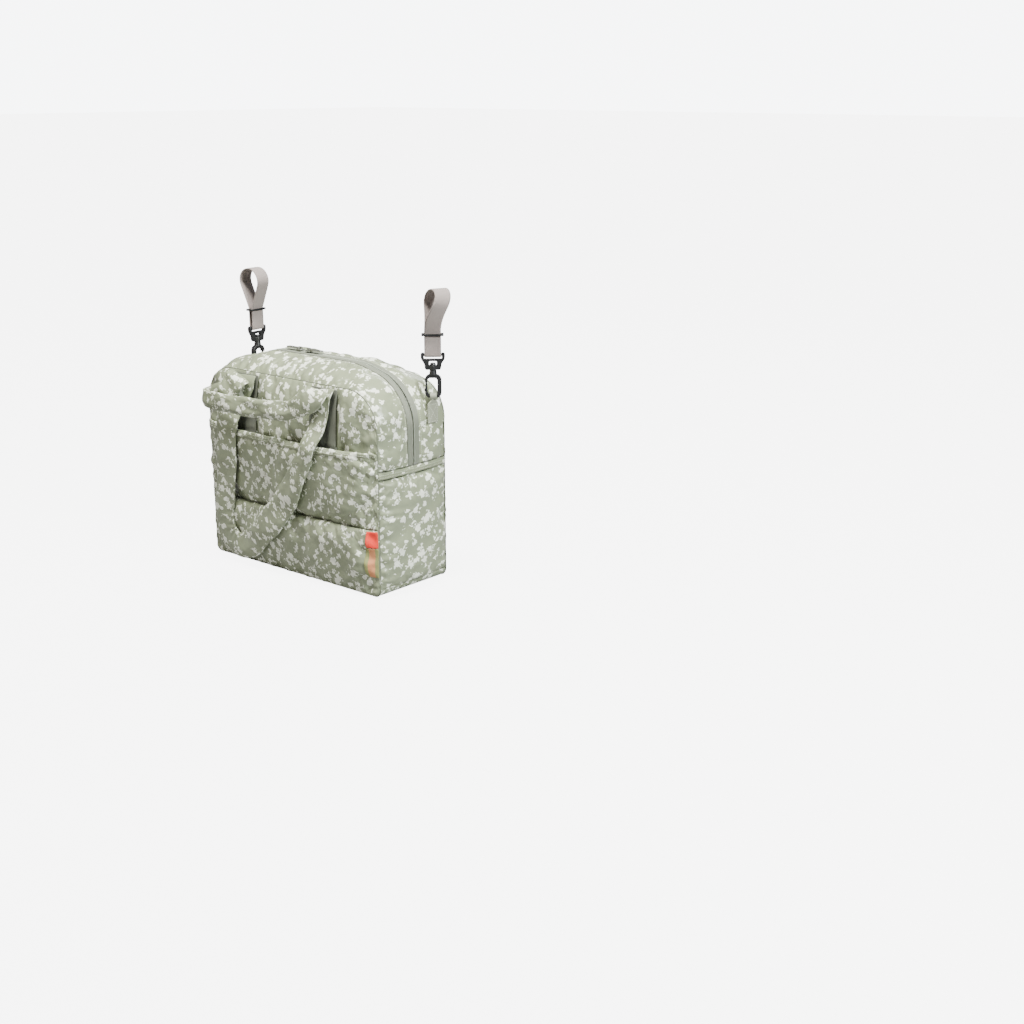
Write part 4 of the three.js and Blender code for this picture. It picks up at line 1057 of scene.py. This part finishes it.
thread = plastic("thread", (0.50, 0.52, 0.42, 1), 0.55)
stitch_pitch = 0.0031
stitch_size = (0.0023, 0.0006, 0.0007)
hem_line = hem["points"][4:-4]
seam_rows = [("hem_stitches", [hem_line[:, row] + (0, -0.0002, 0) for row in (1, -2)], "front_pocket_hem")]
seam_rows += [(f"band_stitches_{side}", rows, f"side_band_{side}") for side, rows in band_rows.items()]
for face in ("front", "back"):
    strip = shell[f"gusset_{face}_strip"]
    beside = strip["points"][3:-3, 1] + outward_of(strip)[3:-3, 1] * 0.0003
    seam_rows.append((f"zip_stitches_{face}", [beside], f"zip_tape_{face}"))
for name, rows, node in seam_rows:
    rows_of(name, rows, stitch_pitch, stitch_size, thread, "bag")


def ribbon(name, middle, edge):
    """Woven ribbon: fine ribs across it, and a tight edge in a second colour."""
    material, tree, shader, cloth = new_material(name, "UV")
    split = add_node(tree, "ShaderNodeSeparateXYZ", [cloth]).outputs
    ribs = sums(tree, "SINE", sums(tree, "MULTIPLY", split[1], 2 * math.pi / 0.0009))
    threads_up = place_effect(tree, weave, {"Cloth": cloth, "Threads per metre": 1800.0})
    ribbed = sums(tree, "MULTIPLY_ADD", ribs, 0.5, threads_up["Height"])
    outer = sums(tree, "GREATER_THAN", sums(tree, "ABSOLUTE", split[0]), 0.0047)
    # The colour is darker along each rib's crest, in step with the rib relief.
    rib_darkening = sums(tree, "MULTIPLY_ADD", ribs, 0.12, 0.12)
    fill(tree, shader, {
        "Base Color": mixed(tree, rib_darkening, mixed(tree, outer, middle, edge), darker(middle, 0.55)),
        "Normal": raised(tree, ribbed, 0.00012, 0.7), "Roughness": 0.6,
    })
    return material


lower_tree = BVHTree.FromObject(panels["front_lower_panel"], bpy.context.evaluated_depsgraph_get())
for colour, middle, edge, tilt in (
    ("coral", (0.9, 0.035, 0.02, 1), (0.85, 0.06, 0.03, 1), 0.0006),
    ("tan", (0.66, 0.27, 0.12, 1), (0.26, 0.3, 0.11, 1), -0.0005),
):
    node = f"side_tab_{colour}"
    low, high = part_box(node)
    x = np.linspace(high.x - 0.015, half_width - 0.0006, 12)[:, None]
    z = spaced(low.z + 0.0004, high.z - 0.0004, 0.002)[None]
    x, z = x + tilt * np.sin(z * 40) + 0 * z, z + 0 * x
    over = np.stack([x, 0 * x, z], -1).reshape(-1, 3)
    surface = hit_from(lower_tree, over + (0, -0.06, 0), (0, 1, 0)).reshape(x.shape)
    surface = np.where(np.isnan(surface), np.nanmax(surface), surface)
    for _ in range(4):
        surface[1:-1] = (surface[:-2] + 2 * surface[1:-1] + surface[2:]) / 4
        surface[:, 1:-1] = (surface[:, :-2] + 2 * surface[:, 1:-1] + surface[:, 2:]) / 4
    y = surface - 0.0014 - 0.0005 * np.sin(z * 160) * ease(half_width - x, 0.004, 0.016)
    tab = make_sheet(np.stack([x, y, z], -1), np.stack([x - x.mean(), z], -1), (0, -1, 0))
    sew(f"{colour}_tab", tab, ribbon(f"{colour}_ribbon", middle, edge), 0.0012, node)

# ---------------------------------------------------------------- side loops, hooks and straps
# On each side a tab of plain cloth is box-stitched to the gusset and gathered into an eye. A
# moulded swivel hook with a sprung gate holds it, and its frame carries a taupe webbing strap
# with a three-bar slide that goes round the stroller's push bar.

loop_cloth = plain_cloth(
    "side_loop_cloth", (0.27, 0.285, 0.21, 1), 1300.0, 0.00012, 0.72, creases=60.0, side_on=True,
)
hook_plastic = plastic("hook_plastic", (0.006, 0.006, 0.0065, 1), 0.4)

# Woven webbing: lengthwise ribs crossed by a fine weft, with a fuzz of loose fibres.
taupe = (0.33, 0.275, 0.255, 1)
webbing, tree, shader, cloth = new_material("taupe_webbing", "UV")
split = add_node(tree, "ShaderNodeSeparateXYZ", [cloth]).outputs
ribs = sums(tree, "SINE", sums(tree, "MULTIPLY", split[0], 2 * math.pi / 0.0016))
weft = sums(tree, "SINE", sums(tree, "MULTIPLY", split[1], 2 * math.pi / 0.0011))
woven = sums(tree, "MULTIPLY_ADD", sums(tree, "MULTIPLY", ribs, weft), 0.35, sums(tree, "ABSOLUTE", ribs))
fuzzy = sums(tree, "MULTIPLY_ADD", noise(tree, cloth, 1200.0, 2.0)[0], 0.4, woven)
# The base colour is lighter where the weave's relief stands high and darker where it sits low: painted shade
# in the grooves between the ribs.
fill(tree, shader, {
    "Base Color": mixed(tree, sums(tree, "MULTIPLY_ADD", woven, 0.35, 0.3), darker(taupe, 0.66), taupe),
    "Normal": raised(tree, fuzzy, 0.00025, 0.8), "Roughness": 0.82, "Sheen Weight": 0.2,
})
web_width = 0.025
web = 0.0016
web_line = 0.0023 + web / 2
rail_ring = 0.019 + 0.0003 + web / 2


def strap_band(foot, neck, top, twist, lean):
    """Rings of a closed band: round the frame bar, up through the slide, round the push bar."""
    centre = top - web / 2 - rail_ring
    leave = math.atan2(neck - centre, web_line) + math.acos(rail_ring / math.hypot(web_line, neck - centre))
    if leave > math.pi / 2:
        leave -= 2 * math.pi
    start = np.array((web_line, neck))
    touch = (rail_ring * math.cos(leave), centre + rail_ring * math.sin(leave))
    side = [(web_line, z) for z in np.linspace(foot, neck, 12)]
    side += [tuple(start + np.subtract(touch, start) * k / 9) for k in range(1, 9)]
    side += [
        (rail_ring * math.cos(a), centre + rail_ring * math.sin(a))
        for a in np.linspace(leave, math.pi / 2, 26)
    ]
    wrap = [
        (web_line * math.cos(a), foot + web_line * math.sin(a))
        for a in np.linspace(math.pi, 2 * math.pi, 14)[1:-1]
    ]
    path = np.array(side + [(-n, z) for n, z in reversed(side[:-1])] + wrap)
    ahead = unit(np.roll(path, -1, 0) - np.roll(path, 1, 0))
    share = np.linspace(-1, 1, 11)
    skin = [(s * web_width / 2, web / 2 * (1 - 0.25 * abs(s) ** 8)) for s in share]
    section = np.array(skin + [(-a, -t) for a, t in skin])
    n = path[:, :1] + ahead[:, 1:] * section[:, 1]
    z = path[:, 1:] - ahead[:, :1] * section[:, 1]
    turn = math.radians(twist) * ease(z, neck, top)
    shift = lean * ease(z, neck, top + 0.02)
    x = section[:, 0] * np.cos(turn) - n * np.sin(turn) + shift
    y = section[:, 0] * np.sin(turn) + n * np.cos(turn)
    travelled = np.cumsum(np.linalg.norm(path - np.roll(path, 1, 0), axis=1))
    across = np.append(section[:, 0], section[0, 0])
    return np.stack([x, y, z], -1), np.stack(np.broadcast_arrays(across, travelled[:, None]), -1)


hook_yaw = {"right": 42, "left": 86}
strap_twist = {"right": 28, "left": 0}
strap_lean = {"right": 0.012, "left": 0.002}
stitch_inset = 0.0022
box_height = 0.026
loop_stitch = (0.0022, 0.0006, 0.0006)
strap_stitch = (0.002, 0.0005, 0.0006)
strap_pitch = 0.0026
taupe_thread = plastic("taupe_thread", (0.30, 0.265, 0.25, 1), 0.65)
for side, sign in (("right", 1), ("left", -1)):
    for label, node, body, voxel in (
        ("hook", f"hook_body_{side}", f"hook_{side}", 0.00042),
        ("gate", f"hook_gate_{side}", f"gate_{side}", 0.0003),
        ("frame", f"swivel_frame_{side}", f"strap_{side}", 0.00042),
        ("slide", f"tri_glide_{side}", f"glide_{side}", 0.0004),
    ):
        moulded(f"{label}_{side}", node, body, hook_plastic, voxel, 3)
    loop_node = f"side_loop_{side}"
    loop = moulded(f"{loop_node}_cloth", loop_node, "bag", loop_cloth, 0.0006, 4)
    loop_tree = BVHTree.FromObject(loop, bpy.context.evaluated_depsgraph_get())
    low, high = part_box(loop_node)
    near_low = (low.y + stitch_inset, low.z + stitch_inset)
    far_low = (high.y - stitch_inset, near_low[1])
    near_high = (near_low[0], near_low[1] + box_height)
    far_high = (far_low[0], near_high[1])
    box_stitch = []
    for start, end in (
        (near_low, far_low), (far_low, far_high), (far_high, near_high),
        (near_high, near_low), (near_low, far_high), (near_high, far_low),
    ):
        spread = np.linspace(start, end, 12)
        ends = np.stack([np.full(12, sign * 0.2), spread[:, 0], spread[:, 1]], -1)
        ends[:, 0] = -sign * hit_from(loop_tree, ends, (-sign, 0, 0))
        box_stitch.append(ends[~np.isnan(ends[:, 0])])
    rows_of(f"loop_stitches_{side}", box_stitch, stitch_pitch, loop_stitch, thread, "bag")
    web_node = f"strap_webbing_{side}"
    foot_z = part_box(f"hook_body_{side}")[0].z
    axis = Matrix.Translation((sign * 0.198, 0.04, foot_z))
    axis = axis @ Matrix.Rotation(math.radians(sign * hook_yaw[side]), 4, "Z")
    frame_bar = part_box(f"swivel_frame_{side}")[1].z - foot_z - 0.0028
    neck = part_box(f"tri_glide_{side}")[1].z - foot_z + 0.001
    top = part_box(web_node)[1].z - foot_z
    rings, lay = strap_band(frame_bar, neck, top, sign * strap_twist[side], strap_lean[side])
    placed = np.array([axis @ Vector(p) for p in rings.reshape(-1, 3)]).reshape(rings.shape)
    strap = loft(f"strap_{side}_webbing", placed, webbing, lay=lay)
    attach(strap, f"strap_{side}")
    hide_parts(web_node)
    rows = [
        [axis @ Vector((x, n, z)) for x in (-0.011, 0.011)]
        for z in (frame_bar + 0.009, frame_bar + 0.0115)
        for n in (-web_line - web / 2, web_line + web / 2)
    ]
    rows_of(f"strap_{side}_stitches", rows, strap_pitch, strap_stitch, taupe_thread, f"strap_{side}")

# ---------------------------------------------------------------- lining and base board
# Inside: a sewn lining with one gathered pocket, and a stiff board in the base. They keep their
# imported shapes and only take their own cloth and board.

lining_cloth = plain_cloth("lining_cloth", (0.58, 0.57, 0.50, 1), 1400.0, 0.00008, 0.75)
for node in ("lining", "inner_pocket"):
    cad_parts[node].data.materials[0] = lining_cloth
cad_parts["inner_pocket_elastic"].data.materials[0] = loop_cloth
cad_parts["base_board"].data.materials[0] = plastic("board", (0.10, 0.10, 0.095, 1), 0.7)
